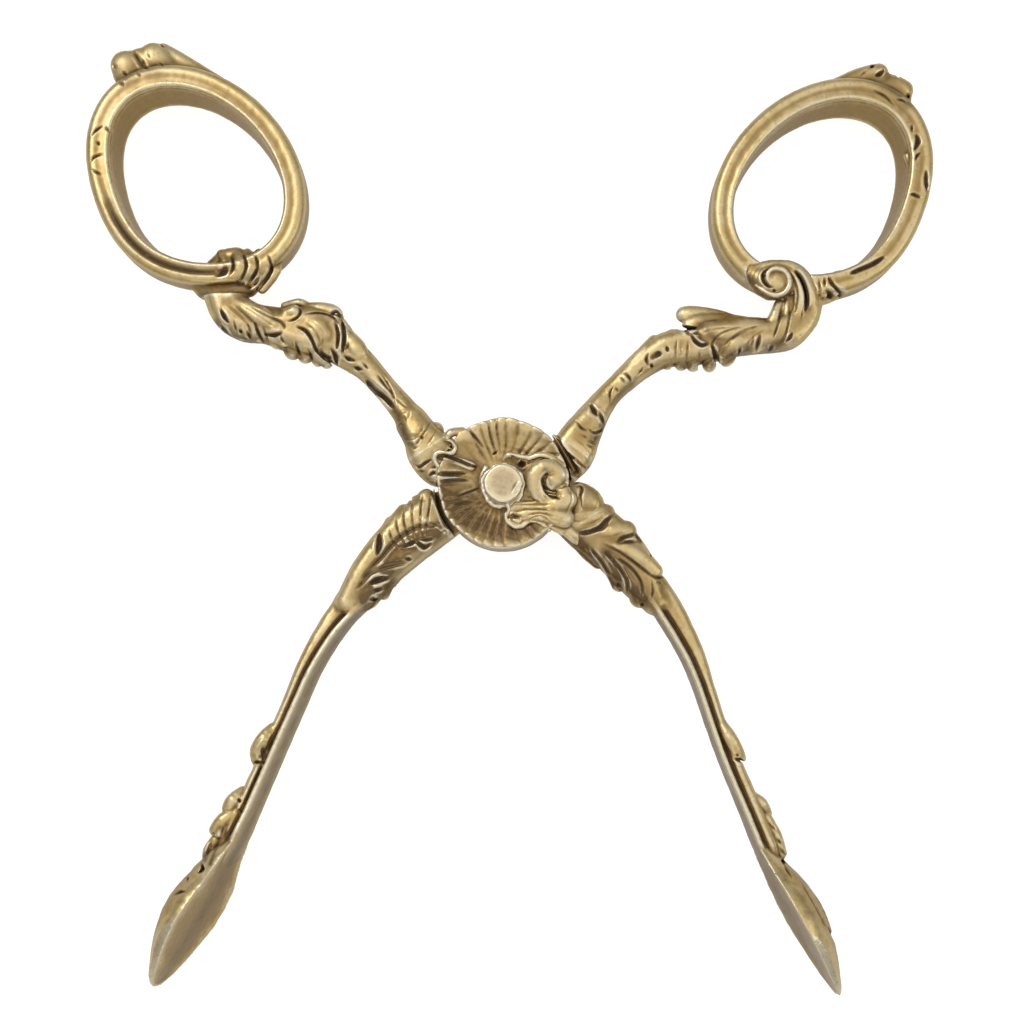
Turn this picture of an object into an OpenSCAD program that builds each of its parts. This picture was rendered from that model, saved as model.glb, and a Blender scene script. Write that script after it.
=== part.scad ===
// Sugar nippers in cast silver-gilt, lying open as an X. Two scissor levers cross at a lapped
// pivot. Each lever has a finger ring, a leafy stem, a lap disc, a bowed arm and a spoon grip.
// The pivot axis is Z, the rings point to +Y, and the back lap disc rests at z = 0.

/* [Overall] */
// Angle between the levers when they lie open, in degrees
open_angle = 65.6; // [40:0.2:80]
// Distance from the pivot to the centre of a finger ring
ring_reach = 46.8; // [40:0.2:58]
// Distance from the pivot to the tip of a grip, along the closing plane
grip_reach = 63; // [52:0.5:76]
// Height of the middle plane of the limbs above the back face
mid_z = 3.4; // [3:0.1:4]

/* [Pivot] */
// Radius of the two lap discs and of the shell over them
disc_r = 6.9; // [5.8:0.1:8.3]
// Thickness of the back lap disc
back_disc_h = 3.0; // [2.5:0.1:3.6]
// Thickness of the front lap disc
front_disc_h = 1.9; // [1.6:0.1:2.3]
// Radius of the pin's shank
pin_r = 1.2; // [0.9:0.05:1.6]
// Radius of the pin's button head
head_r = 2.0; // [1.7:0.1:2.4]
// Height of the pin's button head
head_h = 2.2; // [1.5:0.1:2.6]
// Outer radius of the collar under the head
collar_r = 2.4; // [2.0:0.1:2.9]
// Height of the collar under the head
collar_h = 0.9; // [0.7:0.1:1.1]
// Running clearance of the pin in the back disc, on the radius
pin_clear = 0.05; // [0.02:0.01:0.1]
// Gap between the two lap discs
lap_gap = 0.08; // [0.05:0.01:0.2]
// Clearance between a limb and the other lever's disc
limb_clear = 0.3; // [0.2:0.05:0.5]

/* [Shell] */
// Number of flutes round the shell
flutes = 34; // [24:1:40]
// Thickness of the shell at its seat under the collar
shell_seat_h = 1.1; // [0.9:0.1:1.6]
// Rise of the shell from its seat to its rim
shell_rise = 0.9; // [0.5:0.1:1.3]
// Depth of a flute
flute_depth = 0.32; // [0.1:0.02:0.4]

/* [Finger rings] */
// Outer half length of a ring
ring_a = 13.2; // [11:0.1:15.5]
// Outer half width of a ring
ring_b = 10.2; // [8.6:0.1:12]
// Thickness of the ring's band, across
band_t = 2.3; // [1.9:0.1:2.8]
// Depth of the ring's band, front to back
band_d = 5.2; // [4.4:0.1:6]
// Gap between the two rings when they meet
ring_gap = 0.4; // [0.3:0.05:1]
// Angle that the levers still stand open when the rings meet, in degrees
meet_angle = 1; // [0.5:0.1:3]

/* [Arms and grips] */
// Depth of an arm, front to back, below its leaf sheath
arm_d = 4.4; // [3.8:0.1:5]
// Full width of a grip
grip_w = 11; // [9:0.2:13]
// Depth of a grip's domed back
grip_dome = 3.5; // [2.8:0.1:4.2]
// Lean of the front lever's grip towards the front, in degrees
lean_front = 4; // [0:1:6]
// Lean of the back lever's grip towards the front, in degrees
lean_back = 16; // [4:1:17]

/* [Hidden] */
gilt = "#cdb67c";
pale = "#dccb9e";
half = open_angle / 2;
front_disc_z = back_disc_h + lap_gap;
shell_z = front_disc_z + front_disc_h;
collar_z = shell_z + shell_seat_h;
head_z = collar_z + collar_h;
limb_r = disc_r + limb_clear;
fixed_clear = 0.02;
// polar angle of a ring's centre in its lever's frame, where the levers close on x = 0
ring_half_x = sqrt(pow(ring_b, 2) + 0.05 * (pow(ring_a, 2) - pow(ring_b, 2))) + ring_gap / 2;
ring_polar = 90 + asin(ring_half_x / ring_reach) - meet_angle / 2;
ring_c = ring_reach * [cos(ring_polar), sin(ring_polar)];
stem_seam_y = disc_r + 1.6;
arm_seam_y = -(disc_r + 1.6);
stem_seam = [-4.3, 2.3, 2.5];
arm_seam = [5.6, 2.75, 2.7];
stop_gap = 7;
arm_stop = 31;
stem_stop = 180 - open_angle - stop_gap + arm_stop;
section_n = 16;

// Smooth curve through the points of a list, by Catmull-Rom pieces
function spline(p, t) =
    let(n = len(p) - 1, i = min(max(floor(t), 0), n - 1), f = t - i,
        a = p[max(i - 1, 0)], b = p[i], c = p[i + 1], d = p[min(i + 2, n)])
    b + f * ((c - a) / 2 + f * ((2 * a - 5 * b + 4 * c - d) / 2 + f * (3 * b - a - 3 * c + d) / 2));
function unit(v) = v / norm(v);
function power(x, p) = sign(x) * pow(abs(x), p);
function bell(x, c, w) = exp(-pow((x - c) / w, 2));
function polar(r, a) = [r * cos(a), r * sin(a)];

// Solid through a list of rings of points, each with as many points as the next
module loft(rings, closed = false) {
    n = len(rings[0]);
    m = len(rings);
    last = closed ? m : m - 1;
    sides = [for (i = [0:last - 1], j = [0:n - 1])
        let(k = (i + 1) % m, l = (j + 1) % n,
            a = i * n + j, b = i * n + l, c = k * n + l, d = k * n + j)
        each [[a, c, b], [a, d, c]]];
    caps = closed ? [] : [[for (j = [0:n - 1]) j], [for (j = [n - 1:-1:0]) (m - 1) * n + j]];
    polyhedron([for (r = rings) each r], concat(sides, caps), convexity = 8);
}

// Rounded bar section, w half across and d half deep, with a groove along its front
function bar(w, d, groove = 0) = [for (i = [0:section_n - 1])
    let(a = 360 * (i + 0.5) / section_n, u = power(cos(a), 0.8), v = power(sin(a), 0.8))
    [w * u, d * v - (v > 0 ? groove * bell(u, -0.1, 0.35) : 0)]];

// Section of a grip: flat inner face at u = 0, domed back, half width d and dome depth t
function spoon(t, d) = [for (i = [0:section_n - 1])
    let(a = 360 * (i + 0.5) / section_n, u = cos(a) < 0 ? 0 : 0.22 + 0.78 * cos(a))
    [t * u, d * sin(a)]];

// A section set up at a point of a limb, square to the direction it runs in
function place(section, x, y, dir, lean = 0) = [for (s = section)
    let(u = s[0] * cos(lean) - s[1] * sin(lean), v = s[0] * sin(lean) + s[1] * cos(lean))
    [x - u * dir[1], y + u * dir[0], mid_z + v]];

// Stem: centre x, centre y, half width, half depth, groove
stem_line = [
    [stem_seam[0], stem_seam_y - 0.6, stem_seam[1], stem_seam[2], 0],
    [-4.1, stem_seam_y + 2.2, 1.75, 2.3, 0.1],
    [-4.2, 14, 1.3, 2.0, 0.3],
    [-4.7, 17.5, 1.3, 2.0, 0.3],
    [-6.0, 21, 1.9, 2.3, 0],
    [-8.3, 24, 2.3, 2.5, 0],
    [-11.2, 26.4, 2.5, 2.6, 0],
    [ring_c[0] - 3.6, ring_c[1] - 16.7, 2.4, 2.6, 0],
    [ring_c[0] - 3.9, ring_c[1] - 13.1, 2.4, 2.5, 0]];
stem_end = unit([0.4, 0.92]);

module stem_bar() {
    steps = 3;
    loft([for (k = [0:8 * steps])
        let(t = k / steps, s = spline(stem_line, t),
            e = spline(stem_line, t + 0.05) - spline(stem_line, t - 0.05),
            dir = k == 0 ? [0, 1] : k == 8 * steps ? stem_end : unit([e[0], e[1]]))
        place(bar(s[2], s[3], s[4]), s[0], s[1], dir)]);
}

// Arm: inner face x, y, thickness across, half depth, groove, share of the spoon section
grip_y = -grip_reach;
arm_x_front = [2.85, 3.9, 5.2, 6.2, 6.65, 6.4, 5.55, 4.5, 3.45, 2.75, 2.25, 2.0, 1.8, 1.67, 1.62, 1.6];
arm_x_back = [2.85, 3.4, 4.1, 4.85, 5.5, 5.45, 4.8, 3.95, 2.9, 2.15, 1.65, 1.25, 1.05, 0.92, 0.83, 0.8];
arm_line = [
    [arm_seam_y + 0.6, 2 * arm_seam[1], arm_seam[2], 0, 0],
    [-12, 5.2, 2.7, 0, 0],
    [-15.3, 4.4, 2.6, 0, 0],
    [-18.4, 3.4, 2.4, 0.2, 0],
    [-22, 2.6, arm_d / 2, 0.5, 0],
    [-26, 2.2, arm_d / 2, 0.5, 0],
    [-30.5, 1.9, arm_d / 2, 0.5, 0],
    [-35, 1.8, arm_d / 2, 0.4, 0],
    [grip_y + 22.5, 2.0, arm_d / 2, 0.3, 0],
    [grip_y + 18, 2.4, arm_d / 2 + 0.3, 0.1, 0.3],
    [grip_y + 13.5, 3.0, 0.42 * grip_w, 0, 1],
    [grip_y + 9, grip_dome, 0.5 * grip_w, 0, 1],
    [grip_y + 5, 0.9 * grip_dome, 0.43 * grip_w, 0, 1],
    [grip_y + 2.2, 0.66 * grip_dome, 0.31 * grip_w, 0, 1],
    [grip_y + 0.7, 0.45 * grip_dome, 0.2 * grip_w, 0, 1],
    [grip_y, 0.25 * grip_dome, 0.1 * grip_w, 0, 1]];
arm_last = len(arm_line) - 1;

module arm_bar(inner_x, lean) {
    steps = 2;
    line = [for (i = [0:arm_last]) concat([inner_x[i]], arm_line[i])];
    loft([for (k = [0:arm_last * steps])
        let(t = k / steps, s = spline(line, t),
            e = spline(line, t + 0.05) - spline(line, t - 0.05),
            dir = k == 0 ? [0, 1] : -unit([e[0], e[1]]),
            turn = lean * min(1, max(0, (t - 1) / 10)),
            f = min(1, max(0, s[5])),
            b = bar(s[2] / 2, s[3], s[4]), g = spoon(s[2], s[3]),
            mixed = [for (i = [0:section_n - 1])
                [-((1 - f) * (b[i][0] + s[2] / 2) + f * g[i][0]), (1 - f) * b[i][1] + f * g[i][1]]])
        place(mixed, s[0], s[1], dir, turn)]);
}

// One rounded lobe of a leaf, from point a to point b
module lobe(a, b, ra, rb, flat = 0.6) {
    hull() {
        translate(a) scale([1, 1, flat]) sphere(ra, $fn = 8);
        translate(b) scale([1, 1, flat]) sphere(rb, $fn = 8);
    }
}

// Acanthus leaf laid along a stretch of limb: lobes fan out on both sides of a midrib
module leaf(from, to, width, z, lobes = 4, r = 0.8) {
    run = to - from;
    side = unit([-run[1], run[0]]);
    for (i = [0:lobes - 1], s = [-1, 1]) {
        root = from + run * (i + 0.2) / (lobes + 0.6);
        tip = from + run * (i + 1) / (lobes + 0.2) + s * side * width * (1 - 0.18 * i);
        lobe([root[0], root[1], z], [tip[0], tip[1], z - 0.8], r, 0.75 * r);
    }
}

// Band that winds in to an eye, lying flat, with its first end at angle a0
module volute(c, r0, r1, a0, turns, hand, z, thick, w0, w1) {
    steps = round(14 * turns);
    loft([for (k = [0:steps])
        let(f = k / steps, a = a0 + hand * 360 * turns * f, w = w0 + (w1 - w0) * f,
            r = r1 + (r0 - r1) * pow(1 - f, 2.4))
        [for (j = [0:7]) let(b = 360 * j / 8 + 22.5, rr = r - hand * w * cos(b))
            [c[0] + rr * cos(a), c[1] + rr * sin(a), z + thick * sin(b) * (1 - 0.25 * f) + 0.5 * f]]]);
}

// Finger ring: an oval band with its long axis on the line from the pivot
module ring_band() {
    steps = 44;
    n = 12;
    translate([ring_c[0], ring_c[1], mid_z]) rotate(ring_polar)
        loft([for (k = [0:steps - 1])
            let(a = -360 * k / steps, lower = 0.5 - 0.5 * cos(a), t = band_t * (1 + 0.15 * lower))
            [for (j = [0:n - 1])
                let(b = 360 * (j + 0.5) / n, u = t / 2 * (1 - power(cos(b), 0.85)),
                    v = band_d / 2 * power(sin(b), 0.85) * (1 - 0.1 * lower))
                [(ring_a - u) * cos(a), (ring_b - u) * sin(a), v]]], closed = true);
}

module to_front() { rotate(half) children(); }
module to_back() { rotate(-half) mirror([1, 0, 0]) children(); }

// Point of the ring's outline at an angle from its outer end, r out from the middle of the band
function ring_at(a, out = 0) =
    let(q = [(ring_a - band_t / 2 + out) * cos(a), (ring_b - band_t / 2 + out) * sin(a)])
    ring_c + q[0] * [cos(ring_polar), sin(ring_polar)] + q[1] * [-sin(ring_polar), cos(ring_polar)];
function at(p, z) = [p[0], p[1], z];

// Rounded lobe that stands out from a ring at an angle from its outer end
module crest_lobe(a, high, r) {
    lobe(at(ring_at(a), mid_z), at(ring_at(a, high), mid_z + 0.2), r + 0.1, r, 1.15);
}

// Leaf wraps round one limb of a ring
module ring_wraps(a0, a1, count, out = 0.55) {
    for (i = [0:count - 1]) {
        a = a0 + (a1 - a0) * i / (count - 1);
        lobe(at(ring_at(a, out), mid_z - 1.4), at(ring_at(a + 7, out * 0.9), mid_z + 1.6), 0.9, 0.8, 1);
    }
}

seat_z = mid_z + 0.2;
scroll_c = ring_c + [-1.4, -ring_a + 2.1];
// Foot that joins a ring's band to the seam on its stem
module ring_foot(drop) {
    p = [stem_line[8][0], stem_line[8][1]];
    for (a = [142, 152, 163])
        lobe(at(p, mid_z + drop), at(ring_at(a), mid_z + drop), 2.4, 1.3, 1.05);
}

module ring_foot_cut() {
    p = stem_line[8];
    // everything on the pivot's side of the solder seam
    translate([p[0], p[1], mid_z]) rotate(atan2(stem_end[1], stem_end[0]))
        translate([-12.3, -6, -8]) cube([12, 12, 16]);
}

module finger_ring_left() color(gilt) to_front() {
    difference() {
        union() {
            ring_band();
            crest_lobe(-12, 2.6, 1.3);
            crest_lobe(-26, 2.5, 1.6);
            crest_lobe(-37, 0.9, 1.2);
            ring_wraps(28, 52, 4);
            ring_foot(0);
            lobe(at(ring_at(170), mid_z), at(scroll_c + [0.2, 0.8], mid_z + 0.5), 1.7, 2.0, 1.2);
            lobe(at(ring_at(186), mid_z), at(scroll_c + [2.4, 0.4], mid_z + 0.3), 1.6, 1.6, 1.3);
        }
        ring_foot_cut();
    }
}

module finger_ring_right() color(gilt) to_back() {
    difference() {
        union() {
            ring_band();
            crest_lobe(-27, 2.3, 1.1);
            crest_lobe(-10, 2.2, 1.4);
            ring_wraps(6, 46, 5);
            ring_foot(-0.6);
        }
        ring_foot_cut();
        translate([scroll_c[0], scroll_c[1], seat_z]) cylinder(h = 10, r = 5.3, $fn = 48);
    }
}

module stem_left() color(gilt) to_front() {
    difference() {
        union() {
            stem_bar();
            leaf([-14.5, 31], [-8, 23.5], 2.6, mid_z + 2.0, 4, 0.95);
            leaf([-6.2, 21], [-4.4, 14.5], 1.2, mid_z + 1.6, 3, 0.7);
            lobe([-9.0, 28.3, mid_z + 0.6], [-7.2, 28.0, mid_z + 1.0], 1.3, 0.9, 1.2);
            lobe([-8.0, 26, mid_z + 0.6], [-5.4, 25.3, mid_z + 0.6], 1.6, 1.2, 1.2);
        }
        stem_cut();
    }
}

// Squares a stem's two ends at the seams to its disc and its ring
module stem_cut() {
    translate([-20, stem_seam_y - 10, -5]) cube([40, 10, 20]);
    p = stem_line[8];
    translate([p[0], p[1], mid_z]) rotate(atan2(stem_end[1], stem_end[0]))
        translate([-0.3, -9, -8]) cube([6, 18, 16]);
}

module stem_right() color(gilt) to_back() {
    difference() {
        union() {
            stem_bar();
            leaf([-14, 29], [-7.4, 23.6], 2.3, mid_z + 2.0, 4, 0.9);
            leaf([-6.4, 21.4], [-4.3, 14.5], 1.2, mid_z + 1.6, 3, 0.7);
            lobe([-9.5, 27.4, mid_z + 0.8], [-5.2, 26.2, mid_z + 1.2], 1.2, 0.9, 1);
        }
        stem_cut();
    }
    translate([0, 0, seat_z]) volute_scroll();
}

// The stem's leafy band, which curls over the ring's foot and ends in a snail
module volute_scroll() {
    volute(scroll_c, 5.4, 0.9, 228, 1.4, -1, 1.9, 1.6, 1.2, 0.8);
    translate([scroll_c[0], scroll_c[1], 0]) cylinder(h = 3.2, r = 2.2, $fn = 32);
}

// Shoulder of a limb, from inside the disc out to its seam
module shoulder(seam_y, seam) {
    s = sign(seam_y);
    loft([for (k = [0:3])
        let(f = k / 3, y = s * 3 + (seam_y - s * 3) * f, w = seam[1] + 2 * f * (1 - f),
            c = seam[0] * (0.82 + 0.18 * f))
        place(bar(w, seam[2]), c, y, [0, s])]);
}

// Everything between two polar angles, taller than the limbs
module wedge(a0, a1) {
    translate([0, 0, -10]) linear_extrude(30)
        polygon([[0, 0], polar(20, a0), polar(22, (a0 + a1) / 2), polar(20, a1)]);
}

// Both shoulders of a lever, trimmed to the radial stop faces that meet when it opens
module shoulders() {
    difference() {
        union() {
            shoulder(stem_seam_y, stem_seam);
            shoulder(arm_seam_y, arm_seam);
        }
        wedge(stem_stop, 200);
        wedge(-arm_stop, 40);
    }
}

module lap_boss_back() color(gilt) to_back() {
    difference() {
        union() {
            cylinder(h = back_disc_h, r = disc_r, $fn = 96);
            shoulders();
        }
        translate([0, 0, back_disc_h]) cylinder(h = 20, r = limb_r, $fn = 96);
        translate([0, 0, -1]) cylinder(h = 20, r = pin_r + pin_clear, $fn = 48);
        translate([0, 0, -0.001]) cylinder(h = tail_h + 0.05, r1 = tail_r + pin_clear, r2 = pin_r, $fn = 48);
    }
}

module lap_boss_front() color(gilt) to_front() {
    difference() {
        union() {
            translate([0, 0, front_disc_z]) cylinder(h = front_disc_h, r = disc_r, $fn = 96);
            shoulders();
        }
        translate([0, 0, front_disc_z - 10]) cylinder(h = 10, r = limb_r, $fn = 96);
        translate([0, 0, shell_z]) cylinder(h = 20, r = limb_r, $fn = 96);
        translate([0, 0, -1]) cylinder(h = 20, r = pin_r + fixed_clear, $fn = 48);
    }
}

shell_inner = pin_r + 0.1;
shell_seat_r = collar_r + 0.2;
shell_radii = [for (f = [0, 0.25, 0.5, 0.75, 1]) shell_seat_r + f * (disc_r - shell_seat_r)];
function shell_share(r) = max(0, (r - shell_seat_r) / (disc_r - shell_seat_r));
function shell_top(r) = shell_z + shell_seat_h + shell_rise * pow(shell_share(r), 1.3);

// Fluted shell over the front disc, dished towards the pin
module shell_boss() color(pale) {
    per = 3;
    n = flutes * per;
    top = [for (r0 = concat([shell_inner], shell_radii)) [for (j = [0:n - 1])
        let(a = -360 * j / n, ripple = cos(360 * j / per) - 1,
            r = r0 + (r0 == disc_r ? 0.12 * ripple : 0),
            sunk = flute_depth / 2 * ripple * min(1, 3 * shell_share(r0)))
        [r * cos(a), r * sin(a), shell_top(r0) + sunk]]];
    side = [for (j = [0:n - 1]) let(a = -360 * j / n, r = disc_r - 0.35) [r * cos(a), r * sin(a), shell_z]];
    hole = [for (j = [0:n - 1]) let(a = -360 * j / n) [shell_inner * cos(a), shell_inner * sin(a), shell_z]];
    loft(concat([hole], top, [side]), closed = true);
}

tail_r = 1.9;
tail_h = 0.7;
module pivot_pin() color(pale) {
    top = head_z + head_h;
    rotate_extrude($fn = 48) polygon([[0, 0], [tail_r, 0], [pin_r, tail_h], [pin_r, head_z],
        [head_r, head_z], [head_r, top - 0.3], [head_r - 0.3, top], [0, top]]);
}

module pin_collar() color(gilt) {
    difference() {
        translate([0, 0, collar_z]) cylinder(h = collar_h, r = collar_r, $fn = 48);
        translate([0, 0, collar_z - 1]) cylinder(h = collar_h + 2, r = pin_r + fixed_clear, $fn = 48);
    }
}

// Leaf sheath over the upper arm, moved out by shift where the arm bows out
module arm_sheath(shift) {
    leaf([5.4, -9.4], [7.0 + shift, -18], 2.6, mid_z + 2.1, 4, 0.95);
}

// Small leaf buds along the back of an arm
module buds(inner_x) {
    for (p = [[6, 34.5], [8, 42.5], [9, 46.5]]) {
        x = inner_x[p[0]] + arm_line[p[0]][1];
        lobe([x - 1.2, -p[1] + 1.8, mid_z + 0.6], [x + 0.1, -p[1] - 0.6, mid_z + 0.3], 0.95, 0.8, 1.6);
    }
}

// Leaf of the front arm that runs in over the shell and curls into a volute beside the pin
module shell_crest() {
    difference() {
        union() {
            lobe([5.3, -10.4, 4.9], [5.0, -6.3, 7.2], 1.9, 1.3, 0.8);
            lobe([5.0, -6.6, 7.3], [3.8, -4.4, 7.5], 1.4, 1.1, 0.8);
            lobe([4.6, -5.2, 7.3], [0.4, -3.6, 7.1], 0.9, 0.6, 0.8);
            lobe([4.4, -6.2, 7.2], [0.4, -4.6, 7.0], 0.8, 0.5, 0.8);
            volute([4.25, -1.95], 1.9, 0.55, 255, 1.2, -1, 7.3, 0.75, 0.6, 0.5);
            lobe([5.6, -1.0, 7.1], [4.6, 0.7, 7.2], 0.6, 0.45, 1);
            lobe([4.6, 0.7, 7.2], [1.9, 2.3, 7.0], 0.45, 0.35, 1);
        }
        shell_space();
        translate([-20, arm_seam_y, -5]) cube([40, 30, mid_z + arm_seam[2] + fixed_clear + 5]);
    }
}

// Room for the shell, a hair larger than its flutes' crests
module shell_space() {
    rotate_extrude($fn = 72) polygon(concat([[0, 0], [0, shell_z + shell_seat_h + fixed_clear]],
        [for (r = shell_radii) [r, shell_top(r) + fixed_clear]], 
        [[disc_r + 0.1, shell_top(disc_r)], [disc_r + 0.1, 0]]));
}

module arm_right() color(gilt) to_front() {
    difference() {
        union() {
            arm_bar(arm_x_front, lean_front);
            arm_sheath(0.9);
            buds(arm_x_front);
        }
        arm_cut();
    }
    shell_crest();
}

module arm_left() color(gilt) to_back() {
    difference() {
        union() {
            arm_bar(arm_x_back, lean_back);
            arm_sheath(0);
            buds(arm_x_back);
        }
        arm_cut();
    }
}

// Squares an arm's root at the seam to its disc
module arm_cut() {
    translate([-20, arm_seam_y, -5]) cube([40, 10, 20]);
}

finger_ring_left();
stem_left();
lap_boss_front();
shell_boss();
arm_right();
pivot_pin();
pin_collar();
finger_ring_right();
stem_right();
lap_boss_back();
arm_left();
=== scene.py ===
"""Silver-gilt sugar nippers: each cast piece is modelled in clay-like distance fields over its CAD node."""
import math

import bpy
import numpy as np
from mathutils import Matrix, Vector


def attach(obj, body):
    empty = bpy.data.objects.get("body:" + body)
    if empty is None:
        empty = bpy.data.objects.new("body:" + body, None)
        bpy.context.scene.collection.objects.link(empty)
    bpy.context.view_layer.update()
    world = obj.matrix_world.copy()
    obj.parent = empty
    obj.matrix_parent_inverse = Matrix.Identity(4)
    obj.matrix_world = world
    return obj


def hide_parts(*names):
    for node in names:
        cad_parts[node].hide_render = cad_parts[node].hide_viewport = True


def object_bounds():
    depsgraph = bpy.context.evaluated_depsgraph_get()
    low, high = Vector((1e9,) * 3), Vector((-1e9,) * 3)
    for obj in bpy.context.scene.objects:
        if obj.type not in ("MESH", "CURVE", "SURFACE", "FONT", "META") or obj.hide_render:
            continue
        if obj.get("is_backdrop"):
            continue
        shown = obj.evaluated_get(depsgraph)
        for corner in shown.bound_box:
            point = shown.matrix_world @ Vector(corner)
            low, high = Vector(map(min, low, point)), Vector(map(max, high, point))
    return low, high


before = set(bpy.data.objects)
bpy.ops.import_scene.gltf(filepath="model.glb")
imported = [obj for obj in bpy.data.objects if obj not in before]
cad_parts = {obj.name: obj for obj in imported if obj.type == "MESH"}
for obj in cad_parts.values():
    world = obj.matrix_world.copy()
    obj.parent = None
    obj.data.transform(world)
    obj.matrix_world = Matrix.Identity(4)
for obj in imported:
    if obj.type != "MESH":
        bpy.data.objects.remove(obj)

bl_info = {
    "name": "Sugar nippers",
    "version": (1, 0, 0),
    "blender": (4, 5, 0),
    "location": "View3D > Sidebar > Nippers",
    "description": "Builds a pair of rococo silver-gilt sugar nippers over their CAD frame",
    "category": "Object",
}

# Closing half angle of the levers at rest, in radians
HALF = math.radians(32.8)
# Height of the limbs' middle plane, in millimetres
MID = 3.4
# Polar angle of a finger ring's long axis in its lever's frame, and its centre's distance from the pin
RING_POLAR = math.radians(102.55)
RING_REACH = 46.8
RING_C = (RING_REACH * math.cos(RING_POLAR), RING_REACH * math.sin(RING_POLAR))
# Half lengths of a finger ring's outline along and across that axis
RING_A, RING_B = 13.2, 10.2
# Half height of a finger ring's band
BAND_TALL = 2.5
# Where along its lever a grip's face begins to be dished, and where the grip ends
DISH_START, GRIP_END = -46.6, -63.0
# Height of each lap disc's two faces, and the discs' radius in the carving
DISCS = {"front": (3.08, 4.96), "back": (0.0, 3.0)}
DISC_R = 6.5
# Radius that a limb leaves free round the other lever's disc, and the shell's own radius
ROOM_R = 7.2
SHELL_R = 6.9
# Height of the shell's underside, and the radius of its bore
SHELL_LOW = 4.98
BORE_R = 1.25
# Distance from the pin's axis at which a stem begins, an arm begins and a lap disc's piece ends
STEM_START, ARM_START, BOSS_END = 7.4, -7.2, 7.8
# Depth by which a piece is tucked in at a cut end, and the depth of a casting's unevenness
TUCK = 0.04
UNEVEN = 0.014
# How much wider apart the samples of the two long pieces, ring and arm, are
LONG = 1.18
# Reach of the two shade values that tell edges from hollows, in millimetres
SHADE_REACH = (0.28, 0.8)
# A height above every sample, and the index of a whole block
ABOVE = 99.0
WHOLE = (slice(None),) * 3


def spline(rows, per=4):
    """The rows of a table, made finer by Catmull-Rom pieces."""
    p = np.asarray(rows, float)
    n = len(p)
    if n < 3:
        t = np.linspace(0, 1, per + 1)[:, None]
        return p[0] * (1 - t) + p[-1] * t
    out = []
    for i in range(n - 1):
        a, b, c, d = p[max(i - 1, 0)], p[i], p[i + 1], p[min(i + 2, n - 1)]
        for k in range(per):
            f = k / per
            cubic = f * (3 * b - a - 3 * c + d) / 2
            out.append(b + f * ((c - a) / 2 + f * ((2 * a - 5 * b + 4 * c - d) / 2 + cubic)))
    out.append(p[-1])
    return np.array(out)


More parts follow.
